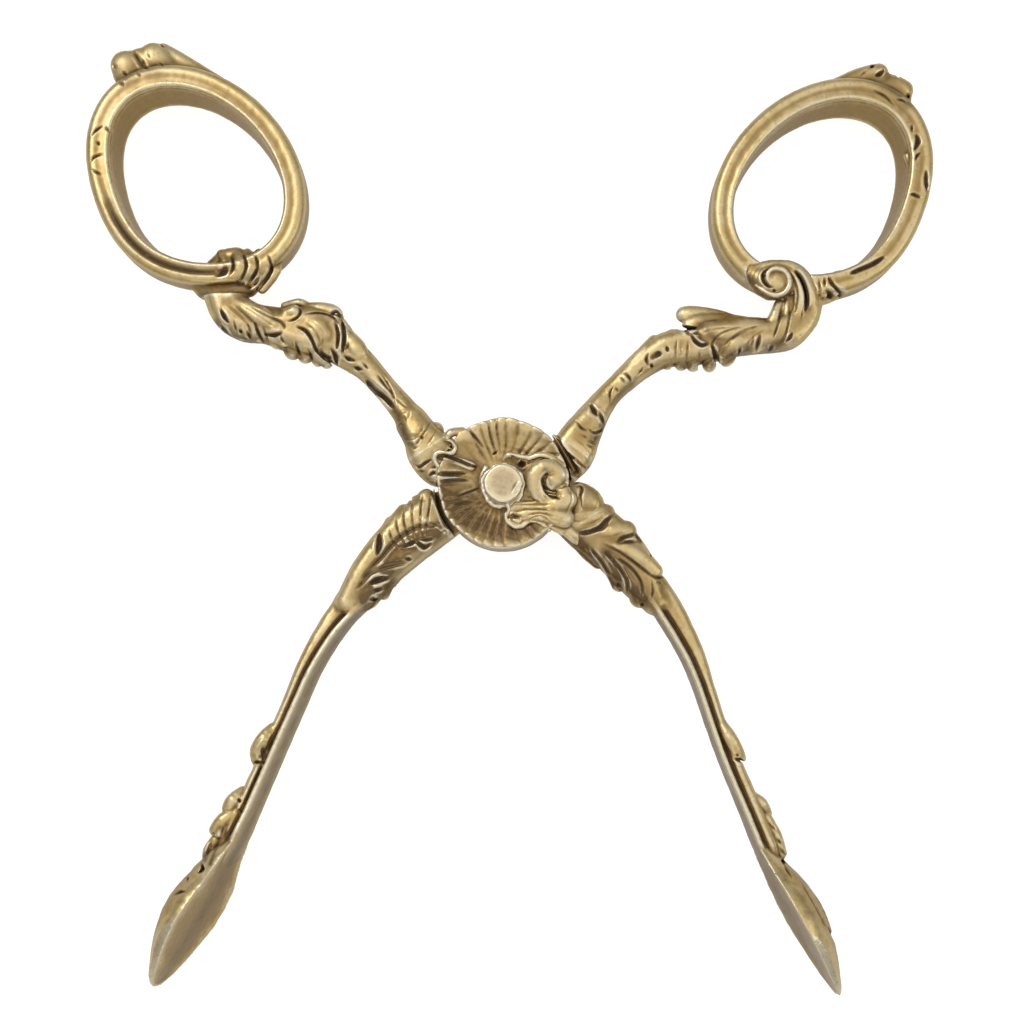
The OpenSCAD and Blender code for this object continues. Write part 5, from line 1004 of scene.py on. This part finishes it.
def ring_stock(clay, name, form):
    """The finger ring's oval band: flat inside, round outside, with a bead along its front inner edge."""
    half = mm(form.band_thickness) / 2
    share, side = clay.flat_map(WHOLE, ring_line(1.2, 0, 360, 97))
    z = clay.axes[2][None, None, :] - np.float32(MID)
    s = side[:, :, None]
    far = (0.5 + 0.5 * np.cos(2 * math.pi * share))[:, :, None]
    grow = far * (0.3 + 0.2 * np.clip(BAND_TALL - z, 0, 5)) * np.clip(s + 0.3, 0, 1)
    band = rounded(np.abs(s) - half - grow, np.abs(z) - BAND_TALL, 0.85)
    clay.put(WHOLE, band.astype(np.float32), 0.2)
    bead = np.sqrt((s - 0.78 - 0.3 * far) ** 2 + (z - 2.2) ** 2) - 0.36
    clay.put(WHOLE, bead.astype(np.float32), 0.15)
    sunk = 0.05 + 0 * share
    if name == "finger_ring_left":
        sunk += 0.32 * np.exp(-(((share - 0.3) / 0.1) ** 4))
        clay.patina_and_shade_lines.append((ring_line(1.3, 72, 146, 12), 0.4, 0.6))
    clay.f += (sunk[:, :, None] * np.exp(-((s - 0.2) / 0.26) ** 2) * (z > 0)).astype(np.float32)


# Pieces of each lever from the ring's side to the grip's: a limb's carving runs on over its neighbour
LIMBS = {
    "front": ("stem_left", "lap_boss_front", "arm_right"),
    "back": ("stem_right", "lap_boss_back", "arm_left"),
}


def carve_limb(clay, lever):
    """Runs the tables of a lever's limbs and clears the room of the other lever's disc and of the shell."""
    for name in LIMBS[lever]:
        carve_table(clay, CARVING[name])
    x, y, z = clay.grid(WHOLE)
    r = np.sqrt(x * x + y * y)
    low, high = DISCS[lever]
    room = np.maximum(r - ROOM_R, z - low if lever == "front" else high - z)
    clay.f = np.maximum(clay.f, -room.astype(np.float32))
    if lever == "front":
        clay.f = np.maximum(clay.f, -np.maximum(r - SHELL_R, high - z).astype(np.float32))


def volute_foot(clay):
    """Distance in the plane from the outline of the right ring's volute, and the heights of the samples."""
    volute = Clay(clay.lo, clay.lo + clay.h * (clay.n - 1), clay.h)
    carve_table(volute, CARVING["volute"])
    return volute.f.min(2)[:, :, None], clay.axes[2][None, None, :]


def carve_table(clay, rows):
    """Runs a piece's table, one row at a time."""
    for kind, *row in rows:
        if kind in ("add", "cut"):
            k, flat, pts, *up = row
            clay.stroke(pts, k, flat, *(up or [(0, 0, 1)]), kind)
        elif kind == "bar":
            k, corner, pts = row
            clay.bar(pts, k, corner)
        elif kind == "carve":
            wide, deep, pts, low = row
            clay.carve(pts, wide, deep, low)
        elif kind == "stain":
            wide, strength, pts = row
            clay.patina_and_shade_lines.append((pts, wide, strength))
        elif kind == "slab":
            x, y, nx, ny = row
            clay.slab((x, y, 0), (nx, ny, 0), 0.03)
        elif kind == "curl":
            x, y, z, r, t = row
            turns = np.linspace(0, 2 * math.pi, 13)
            clay.stroke([(x + r * math.cos(b), y + r * math.sin(b), z, t) for b in turns], 0.1, 0.9)


def to_rest(v, lever):
    """Millimetres in a lever's frame to metres in the row frame."""
    x, y, z = v.T
    if lever == "front":
        x, y = x * math.cos(HALF) - y * math.sin(HALF), x * math.sin(HALF) + y * math.cos(HALF)
    elif lever == "back":
        x = -x
        x, y = x * math.cos(HALF) + y * math.sin(HALF), -x * math.sin(HALF) + y * math.cos(HALF)
    return np.stack([x, y, z], 1) * 0.001


def cast(clay, name, lever, body, slot, material, *nodes):
    """Turns a block into a smooth mesh that stands for CAD nodes and rides on their body."""
    verts, quads, shades = clay.skin()
    verts = to_rest(verts, lever)
    if lever == "back":
        quads = quads[:, ::-1]
    mesh = bpy.data.meshes.new(name)
    mesh.vertices.add(len(verts))
    mesh.vertices.foreach_set("co", verts.ravel())
    mesh.loops.add(quads.size)
    mesh.loops.foreach_set("vertex_index", quads.ravel().astype(np.int32))
    mesh.polygons.add(len(quads))
    mesh.polygons.foreach_set("loop_start", np.arange(0, quads.size, 4, dtype=np.int32))
    mesh.polygons.foreach_set("loop_total", np.full(len(quads), 4, np.int32))
    for key, values in zip(("edge", "swell", "stain"), shades):
        mesh.attributes.new(key, "FLOAT", "POINT").data.foreach_set("value", values.astype(np.float32))
    mesh.update()
    mesh.validate()
    mesh.shade_smooth()
    mesh.materials.append(material)
    piece = bpy.data.objects.new(name, mesh)
    bpy.context.scene.collection.objects.link(piece)
    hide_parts(*nodes)
    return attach(piece, body)


def cast_gilt(clay, name, lever, form):
    """Casts a lever's piece in the common gilding, to stand for the CAD node of the same name."""
    cast(clay, "carved_" + name, lever, lever + "_lever", "silver_gilt", material("gilt", form), name)


def step(form):
    return form.step * 1000 * 1


def mm(length):
    """A length property in millimetres."""
    return round(length * 1000, 4)


def gilt(name, form, worn=0.0):
    """Cast silver-gilt: pale gold, whitish on rubbed edges with painted highlight, with brown patina in
    hollows, painted shade in the deepest recesses and along the patina lines, and fine pits.
    """
    m = bpy.data.materials.new(name)
    m.use_nodes = True
    t = m.node_tree
    t.nodes.clear()
    link = t.links.new

    def new(kind, **props):
        n = t.nodes.new("ShaderNode" + kind)
        for key, value in props.items():
            setattr(n, key, value)
        return n

    def shade(key):
        return new("Attribute", attribute_name=key).outputs["Fac"]

    out = new("OutputMaterial")
    b = new("BsdfPrincipled")
    link(b.outputs[0], out.inputs[0])
    co = new("TexCoord")
    edge = shade("edge")

    def noise(scale, detail=4.0, rough=0.6):
        n = new("TexNoise")
        n.inputs["Scale"].default_value = scale
        n.inputs["Detail"].default_value = detail
        n.inputs["Roughness"].default_value = rough
        link(co.outputs["Object"], n.inputs["Vector"])
        return n.outputs["Fac"]

    def span(value, a, c, lo=0.0, hi=1.0):
        n = new("MapRange", interpolation_type="SMOOTHSTEP")
        link(value, n.inputs[0])
        for i, v in enumerate((a, c, lo, hi)):
            n.inputs[i + 1].default_value = v
        return n.outputs[0]

    def calc(op, a, c):
        n = new("Math", operation=op)
        for i, v in enumerate((a, c)):
            if isinstance(v, (int, float)):
                n.inputs[i].default_value = v
            else:
                link(v, n.inputs[i])
        return n.outputs[0]

    def mix(f, a, c):
        n = new("Mix", data_type="RGBA")
        link(f, n.inputs[0])
        for i, v in ((6, a), (7, c)):
            if isinstance(v, tuple):
                n.inputs[i].default_value = (*v, 1)
            else:
                link(v, n.inputs[i])
        return n.outputs[2]

    blotch, grain = noise(260, 5), noise(2600, 3)
    soft_edge = calc("ADD", edge, calc("MULTIPLY", calc("SUBTRACT", blotch, 0.5), 0.10))
    deep = calc("ADD", shade("swell"), calc("MULTIPLY", calc("SUBTRACT", blotch, 0.5), 0.25))
    body = mix(span(blotch, 0.35, 0.7), tuple(form.gold), tuple(form.light_gold))
    body = mix(span(deep, 0.30, 0.02, 0.0, 0.75), body, tuple(form.patina))
    # Brown patina with painted shade along the laid lines, stronger in hollows
    brown = calc("MULTIPLY", shade("stain"), span(edge, 0.34, 0.12, 0.4, 1.5))
    brown = calc("MINIMUM", calc("MULTIPLY", brown, span(noise(900, 4), 0.3, 0.6, 0.75, 1.0)), 0.95)
    body = mix(brown, body, tuple(form.umber_and_shade))
    body = mix(span(soft_edge, 0.05, -0.06, 0.0, 0.75), body, tuple(form.patina))
    # Painted shade: near-black in the deepest recesses
    body = mix(span(soft_edge, -0.06, -0.3), body, tuple(form.recess_shade))
    # Rubbed silver with painted highlight on the raised edges
    body = mix(span(soft_edge, 0.13, 0.36, worn, min(1.0, worn + form.wear_and_highlight)), body, tuple(form.worn))
    body = mix(calc("MULTIPLY", span(grain, 0.46, 0.3), 0.4), body, tuple(form.patina))
    link(body, b.inputs["Base Color"])
    hollow = span(soft_edge, 0.0, -0.2)
    dull = calc("ADD", calc("MULTIPLY", hollow, 0.8), calc("MULTIPLY", brown, 0.3))
    link(calc("SUBTRACT", 1.0, calc("MINIMUM", dull, 1.0)), b.inputs["Metallic"])
    sheen = span(blotch, 0.3, 0.75, form.roughness - 0.05, form.roughness + 0.10)
    link(calc("ADD", sheen, calc("MULTIPLY", hollow, 0.35)), b.inputs["Roughness"])
    bump = new("Bump")
    bump.inputs["Distance"].default_value = 0.00004
    bump.inputs["Strength"].default_value = 0.55
    link(calc("ADD", calc("MULTIPLY", blotch, 0.8), calc("MULTIPLY", grain, 0.45)), bump.inputs["Height"])
    link(bump.outputs[0], b.inputs["Normal"])
    return m


class NIPPERS_PG_form(bpy.types.PropertyGroup):
    """Sizes and colours of the visible pieces."""
    step: bpy.props.FloatProperty(
        name="Sampling step", description="Spacing of the samples that a piece is sculpted in",
        default=0.0001, unit="LENGTH", subtype="DISTANCE", precision=5)
    band_thickness: bpy.props.FloatProperty(
        name="Band thickness", description="Thickness of the finger rings' band",
        default=0.0023, min=0.001, max=0.004, unit="LENGTH", subtype="DISTANCE", precision=5)
    head_radius: bpy.props.FloatProperty(
        name="Pin head radius", description="Radius of the pin's flat head",
        default=0.00198, min=0.0015, max=0.0022, unit="LENGTH", subtype="DISTANCE", precision=5)
    flutes: bpy.props.IntProperty(
        name="Flutes", description="Number of flutes round the shell",
        default=34, min=12, max=60)
    gold: bpy.props.FloatVectorProperty(
        name="Gold", description="Colour of the gilding",
        default=(0.68, 0.51, 0.235), min=0, max=1, subtype="COLOR")
    light_gold: bpy.props.FloatVectorProperty(
        name="Light gold", description="Colour of the thinner gilding",
        default=(0.78, 0.63, 0.36), min=0, max=1, subtype="COLOR")
    # Pale colour of the rubbed silver, which also paints the highlight on raised edges
    worn: bpy.props.FloatVectorProperty(
        name="Worn silver", description="Colour where the gilding is rubbed",
        default=(0.88, 0.82, 0.66), min=0, max=1, subtype="COLOR")
    patina: bpy.props.FloatVectorProperty(
        name="Patina", description="Colour of the brown patina in the hollows",
        default=(0.36, 0.235, 0.088), min=0, max=1, subtype="COLOR")
    # Dark brown of the patina lines, which also paints shade
    umber_and_shade: bpy.props.FloatVectorProperty(
        name="Umber", description="Colour of the brown film over the sunk grounds",
        default=(0.125, 0.073, 0.03), min=0, max=1, subtype="COLOR")
    # Near-black painted shade of the deepest recesses
    recess_shade: bpy.props.FloatVectorProperty(
        name="Dark recesses", description="Colour of the deepest recesses",
        default=(0.075, 0.042, 0.018), min=0, max=1, subtype="COLOR")
    # How far the pale edge colour, rubbed silver with painted highlight, reaches
    wear_and_highlight: bpy.props.FloatProperty(
        name="Wear", description="How far the raised edges are rubbed to silver",
        default=0.65, min=0, max=1, subtype="FACTOR")
    roughness: bpy.props.FloatProperty(
        name="Roughness", description="Roughness of the gilt surface",
        default=0.33, min=0.05, max=0.8, subtype="FACTOR")


def material(name, form, **kinds):
    """A gilt material by name, made the first time it is asked for."""
    return bpy.data.materials.get(name) or gilt(name, form, **kinds)


class NIPPERS_OT_rings(bpy.types.Operator):
    """Builds the two finger rings with their crests, leaf wraps and feet"""
    bl_idname = "nippers.rings"
    bl_label = "Finger rings"
    bl_options = {"REGISTER", "UNDO"}

    def execute(self, context):
        form = context.scene.nippers
        for name, lever in (("finger_ring_left", "front"), ("finger_ring_right", "back")):
            clay = Clay((-23.5, 28.5, -0.3), (3.0, 63.5, 8.2), LONG * step(form))
            ring_stock(clay, name, form)
            carve_table(clay, CARVING[name])
            if lever == "back":
                foot, z = volute_foot(clay)
                clay.f = np.maximum(clay.f, -np.maximum(foot + 0.12, 4.2 - z))
            clay.roughen(0.01)
            cast_gilt(clay, name, lever, form)
        return {"FINISHED"}


class NIPPERS_OT_stems(bpy.types.Operator):
    """Builds the two leafy stems, the right one with its volute"""
    bl_idname = "nippers.stems"
    bl_label = "Leafy stems"
    bl_options = {"REGISTER", "UNDO"}

    def execute(self, context):
        form = context.scene.nippers
        for name, lever in (("stem_left", "front"), ("stem_right", "back")):
            clay = Clay((-20.5, 7.0, -0.3), (2.5, 41.5, 8.2), step(form))
            if lever == "back":
                foot, z = volute_foot(clay)
                clay.put(WHOLE, np.maximum(foot + 0.04, np.abs(z - 4.9) - 0.6), 0.15)
                carve_table(clay, CARVING["volute"])
            carve_limb(clay, lever)
            clay.slab((0, STEM_START, 0), (0, -1, 0), TUCK)
            clay.roughen(UNEVEN)
            cast_gilt(clay, name, lever, form)
        return {"FINISHED"}


class NIPPERS_OT_arms(bpy.types.Operator):
    """Builds the two bowed arms with leaf sheaths, buds and spoon grips"""
    bl_idname = "nippers.arms"
    bl_label = "Arms and grips"
    bl_options = {"REGISTER", "UNDO"}

    def execute(self, context):
        form = context.scene.nippers
        for name, lever in (("arm_right", "front"), ("arm_left", "back")):
            clay = Clay((-1.5, -64.5, -3.2), (11.5, -6.5, 10.2), LONG * step(form))
            arm_stock(clay, name)
            carve_limb(clay, lever)
            clay.slab((0, ARM_START, 0), (0, 1, 0), TUCK)
            clay.roughen(UNEVEN)
            cast_gilt(clay, name, lever, form)
        clay = Clay((-3.5, -11.5, 3.0), (10.5, 4.5, 9.2), step(form))
        carve_table(clay, CARVING["crest"])
        clay.roughen(0.025)
        cast(clay, "carved_crest", "front", "front_lever", "silver_gilt", material("gilt", form), "arm_right")
        return {"FINISHED"}


class NIPPERS_OT_hub(bpy.types.Operator):
    """Builds the shell, the collar, the pin and the two lap bosses"""
    bl_idname = "nippers.hub"
    bl_label = "Lapped pivot"
    bl_options = {"REGISTER", "UNDO"}

    def execute(self, context):
        form = context.scene.nippers
        h = step(form)
        for lever, (low, high) in DISCS.items():
            name = LIMBS[lever][1]
            clay = Clay((-11, -9.5, -0.3), (11, 9.5, 7.5), h)
            carve_limb(clay, lever)
            for side in (1, -1):
                clay.slab((0, BOSS_END * side, 0), (0, side, 0), TUCK)
            x, y, z = clay.grid(WHOLE)
            # Painted shade over the lap boss round the pin, under and beside the shell
            clay.patina_and_shade_lines.append(([(-0.5, 0), (0.5, 0)], 6.5, 0.9))
            face = np.abs(z - (low + high) / 2) - (high - low) / 2
            disc = rounded(np.sqrt(x * x + y * y) - DISC_R, face, 0.08)
            clay.put(WHOLE, disc.astype(np.float32), 0.05)
            clay.roughen(UNEVEN)
            cast_gilt(clay, name, lever, form)
        self.shell(form, h)
        self.pin(form, h)
        return {"FINISHED"}

    def shell(self, form, h):
        """The fluted shell, dished towards the pin, with its frilled edge."""
        clay = Clay((-8.0, -7.8, 4.4), (8.0, 7.8, 8.2), 0.9 * h)
        x, y, z = clay.grid(WHOLE)
        lift = 0.3 * np.clip(np.sqrt(x * x + y * y) / 6, 0, 1)
        r, a = np.sqrt((x + 0.02) ** 2 + (y - lift) ** 2), np.arctan2(y, x)
        turn = a * form.flutes + 1.6 * np.sin(3 * a + 1) + 1.1 * np.sin(7 * a)
        turn += 0.45 * np.sin(1.6 * r + 5 * a)
        crest = np.abs(np.sin(turn / 2)) ** 0.42
        uneven = 0.62 + 0.38 * np.sin(5 * a + 2) * np.sin(11 * a + 0.7 * r)
        f = np.clip((r - 2.5) / 4.4, 0, 1)
        flutes = 0.27 * uneven * (1 - crest) * np.minimum(1, 3 * f)
        top = 6.08 + 0.9 * f ** 1.3 - flutes - 0.12 * np.exp(-((r - SHELL_R) / 0.35) ** 2)
        edge = 6.82 - 0.07 * (1 - crest) + 0.06 * np.sin(9 * a) - 0.28 * np.clip((6.4 - z) / 1.4, 0, 1)
        side = np.maximum(r - edge, SHELL_LOW - z)
        bowl = (z - top) * 0.85
        k = 0.12
        m = np.clip(0.5 + 0.5 * (bowl - side) / k, 0, 1)
        clay.f = (bowl * m + side * (1 - m) + k * m * (1 - m)).astype(np.float32)
        carve_table(clay, CARVING["shell_boss"])
        clay.f = np.maximum(clay.f, (BORE_R - r + 0 * z).astype(np.float32))
        clay.f = np.maximum(clay.f, (SHELL_LOW - z + 0 * r).astype(np.float32))
        clay.roughen(0.018, seed=8)
        gilding = material("gilt_shell", form)
        cast(clay, "carved_shell", "rest", "front_lever", "silver_gilt_shell", gilding, "shell_boss")

    def pin(self, form, h):
        """The pin with its rubbed flat head, and the uneven collar under it."""
        for name in ("pin_collar", "pivot_pin"):
            clay = Clay((-3.4, -3.6, -0.3), (3.4, 3.4, 9.8), 0.75 * h)
            x, y, z = clay.grid(WHOLE)
            r, a = np.sqrt(x * x + y * y), np.arctan2(y, x)
            if name == "pin_collar":
                rim = 2.36 + 0.05 * np.sin(5 * a) + 0.03 * np.sin(13 * a + 1)
                wall = np.abs(r - (rim + BORE_R) / 2) - (rim - BORE_R) / 2
                clay.f = rounded(wall, np.abs(z - 6.53) - 0.45, 0.18).astype(np.float32)
                carve_table(clay, CARVING[name])
                clay.f = np.maximum(clay.f, (1.22 - r + 0 * z).astype(np.float32))
                clay.roughen(0.03, (1.1, 0.55), seed=4)
            else:
                rim = mm(form.head_radius) + 0.025 * np.sin(4 * a + 1) + 0.015 * np.sin(9 * a)
                head = rounded(r - rim, np.abs(z - 8.09) - 1.1, 0.22)
                shank = rounded(r - 1.2 + 0 * z, np.abs(z - 3.6) - 3.6, 0.05)
                foot = np.maximum(r - 1.9 + np.maximum(z, 0), np.maximum(z - 0.7, -z))
                clay.f = np.minimum(np.minimum(head, shank), foot).astype(np.float32)
                carve_table(clay, CARVING[name])
                clay.roughen(0.012, (1.1, 0.55), seed=5)
            gilding = material("gilt_worn", form, worn=0.3)
            cast(clay, "carved_" + name, "rest", "front_lever", "silver_gilt_worn", gilding, name)


# Lamps: name, place and diameter in metres, power in watts
LAMPS = (
    ("key", (-0.22, 0.20, 0.42), 0.26, 0.42),
    ("fill", (0.34, -0.05, 0.30), 0.22, 0.10),
    ("low", (-0.05, -0.42, 0.22), 0.20, 0.10),
)
# How bright the floor glows for the rays of each kind
FLOOR_GLOW = (("Is Camera Ray", 0.82), ("Is Glossy Ray", 0.26), ("Is Transmission Ray", 0.26))
# Brightness of the sky from the nadir to the zenith, and its warm tint
SKY = ((0.0, 0.32), (0.5, 0.6), (0.82, 0.9), (1.0, 1.3))
TINT = (1.0, 0.985, 0.96)
# Metres that one of the picture's 1024 columns spans, at a distance in metres that sets the lens
COLUMN = 0.0001056
DISTANCE = 0.2
# The camera's place in metres, and its turns about x and z in degrees
EYE = (0.000981, -0.019894, 0.202639)
TILT, ROLL = 5, 1.1


def nodes(t, *kinds):
    """New shader nodes in a tree, one of each kind."""
    return [t.nodes.new("ShaderNode" + kind) for kind in kinds]


class NIPPERS_OT_stage(bpy.types.Operator):
    """Sets the floor, the world, the lamps and the camera"""
    bl_idname = "nippers.stage"
    bl_label = "Stage"
    bl_options = {"REGISTER", "UNDO"}

    def execute(self, context):
        scene = context.scene
        scene.view_settings.view_transform = "Standard"
        self.floor(scene)
        self.world(scene)
        for lamp in LAMPS:
            self.lamp(scene, *lamp)
        self.camera(scene)
        return {"FINISHED"}

    def floor(self, scene):
        """A pale floor under the object, which looks white but keeps its shadow."""
        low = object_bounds()[0].z
        mesh = bpy.data.meshes.new("floor")
        mesh.from_pydata([(-1, -1, low), (1, -1, low), (1, 1, low), (-1, 1, low)], [], [(0, 1, 2, 3)])
        floor = bpy.data.objects.new("floor", mesh)
        scene.collection.objects.link(floor)
        floor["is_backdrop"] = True
        m = bpy.data.materials.new("floor")
        m.use_nodes = True
        t = m.node_tree
        link = t.links.new
        b = t.nodes["Principled BSDF"]
        b.inputs["Base Color"].default_value = (0.5, 0.49, 0.47, 1)
        b.inputs["Roughness"].default_value = 0.9
        b.inputs["Specular IOR Level"].default_value = 0.1
        glow, path, join = nodes(t, "Emission", "LightPath", "AddShader")
        total = None
        for key, share in FLOOR_GLOW:
            part, = nodes(t, "Math")
            part.operation = "MULTIPLY_ADD"
            part.inputs[1].default_value = share
            part.inputs[2].default_value = 0
            link(path.outputs[key], part.inputs[0])
            if total:
                link(total, part.inputs[2])
            total = part.outputs[0]
        link(total, glow.inputs["Strength"])
        link(b.outputs[0], join.inputs[0])
        link(glow.outputs[0], join.inputs[1])
        link(join.outputs[0], t.nodes["Material Output"].inputs["Surface"])
        mesh.materials.append(m)

    def world(self, scene):
        """A studio sky, dimmer below, with white behind the object where the camera looks past the floor."""
        world = bpy.data.worlds.new("studio")
        scene.world = world
        world.use_nodes = True
        t = world.node_tree
        link = t.links.new
        sky = t.nodes["Background"]
        co, split, ramp = nodes(t, "TexCoord", "SeparateXYZ", "ValToRGB")
        while len(ramp.color_ramp.elements) < len(SKY):
            ramp.color_ramp.elements.new(0.5)
        for e, (at, value) in zip(ramp.color_ramp.elements, SKY):
            e.position, e.color = at, (*(value * tint for tint in TINT), 1)
        link(co.outputs["Generated"], split.inputs[0])
        link(split.outputs["Z"], ramp.inputs[0])
        link(ramp.outputs[0], sky.inputs["Color"])
        sky.inputs["Strength"].default_value = 0.8
        white, path, pick = nodes(t, "Background", "LightPath", "MixShader")
        white.inputs["Color"].default_value = (1, 1, 1, 1)
        link(path.outputs["Is Camera Ray"], pick.inputs[0])
        link(sky.outputs[0], pick.inputs[1])
        link(white.outputs[0], pick.inputs[2])
        link(pick.outputs[0], t.nodes["World Output"].inputs["Surface"])

    def lamp(self, scene, name, at, size, power):
        """A round soft lamp that looks at the pin."""
        lamp = bpy.data.lights.new(name, "AREA")
        lamp.shape = "DISK"
        lamp.size = size
        lamp.energy = power
        o = bpy.data.objects.new(name, lamp)
        scene.collection.objects.link(o)
        o.location = at
        o.rotation_mode = "QUATERNION"
        o.rotation_quaternion = (-o.location).to_track_quat("-Z", "Y")

    def camera(self, scene):
        """The camera above the nippers, tilted a little towards the rings."""
        cam = bpy.data.cameras.new("camera")
        cam.sensor_width = 36
        cam.lens = 36 / (2 * 512 * COLUMN / DISTANCE)
        cam.clip_start, cam.clip_end = 0.01, 10
        o = bpy.data.objects.new("camera", cam)
        scene.collection.objects.link(o)
        scene.camera = o
        tilt, roll = Matrix.Rotation(math.radians(TILT), 4, "X"), Matrix.Rotation(math.radians(ROLL), 4, "Z")
        o.matrix_world = Matrix.Translation(EYE) @ tilt @ roll


class NIPPERS_PT_panel(bpy.types.Panel):
    """Sizes, colours and the build buttons"""
    bl_idname = "NIPPERS_PT_panel"
    bl_label = "Sugar nippers"
    bl_space_type = "VIEW_3D"
    bl_region_type = "UI"
    bl_category = "Nippers"

    def draw(self, context):
        for key in NIPPERS_PG_form.__annotations__:
            self.layout.prop(context.scene.nippers, key)
        for kind in OPERATORS:
            self.layout.operator(kind.bl_idname)


OPERATORS = (NIPPERS_OT_rings, NIPPERS_OT_stems, NIPPERS_OT_arms, NIPPERS_OT_hub, NIPPERS_OT_stage)
CLASSES = (NIPPERS_PG_form, *OPERATORS, NIPPERS_PT_panel)


def register():
    for kind in CLASSES:
        bpy.utils.register_class(kind)
    bpy.types.Scene.nippers = bpy.props.PointerProperty(type=NIPPERS_PG_form)


def unregister():
    del bpy.types.Scene.nippers
    for kind in reversed(CLASSES):
        bpy.utils.unregister_class(kind)


def main():
    register()
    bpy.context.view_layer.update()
    for kind in OPERATORS:
        group, call = kind.bl_idname.split(".")
        getattr(getattr(bpy.ops, group), call)()


if __name__ == "__main__":
    main()
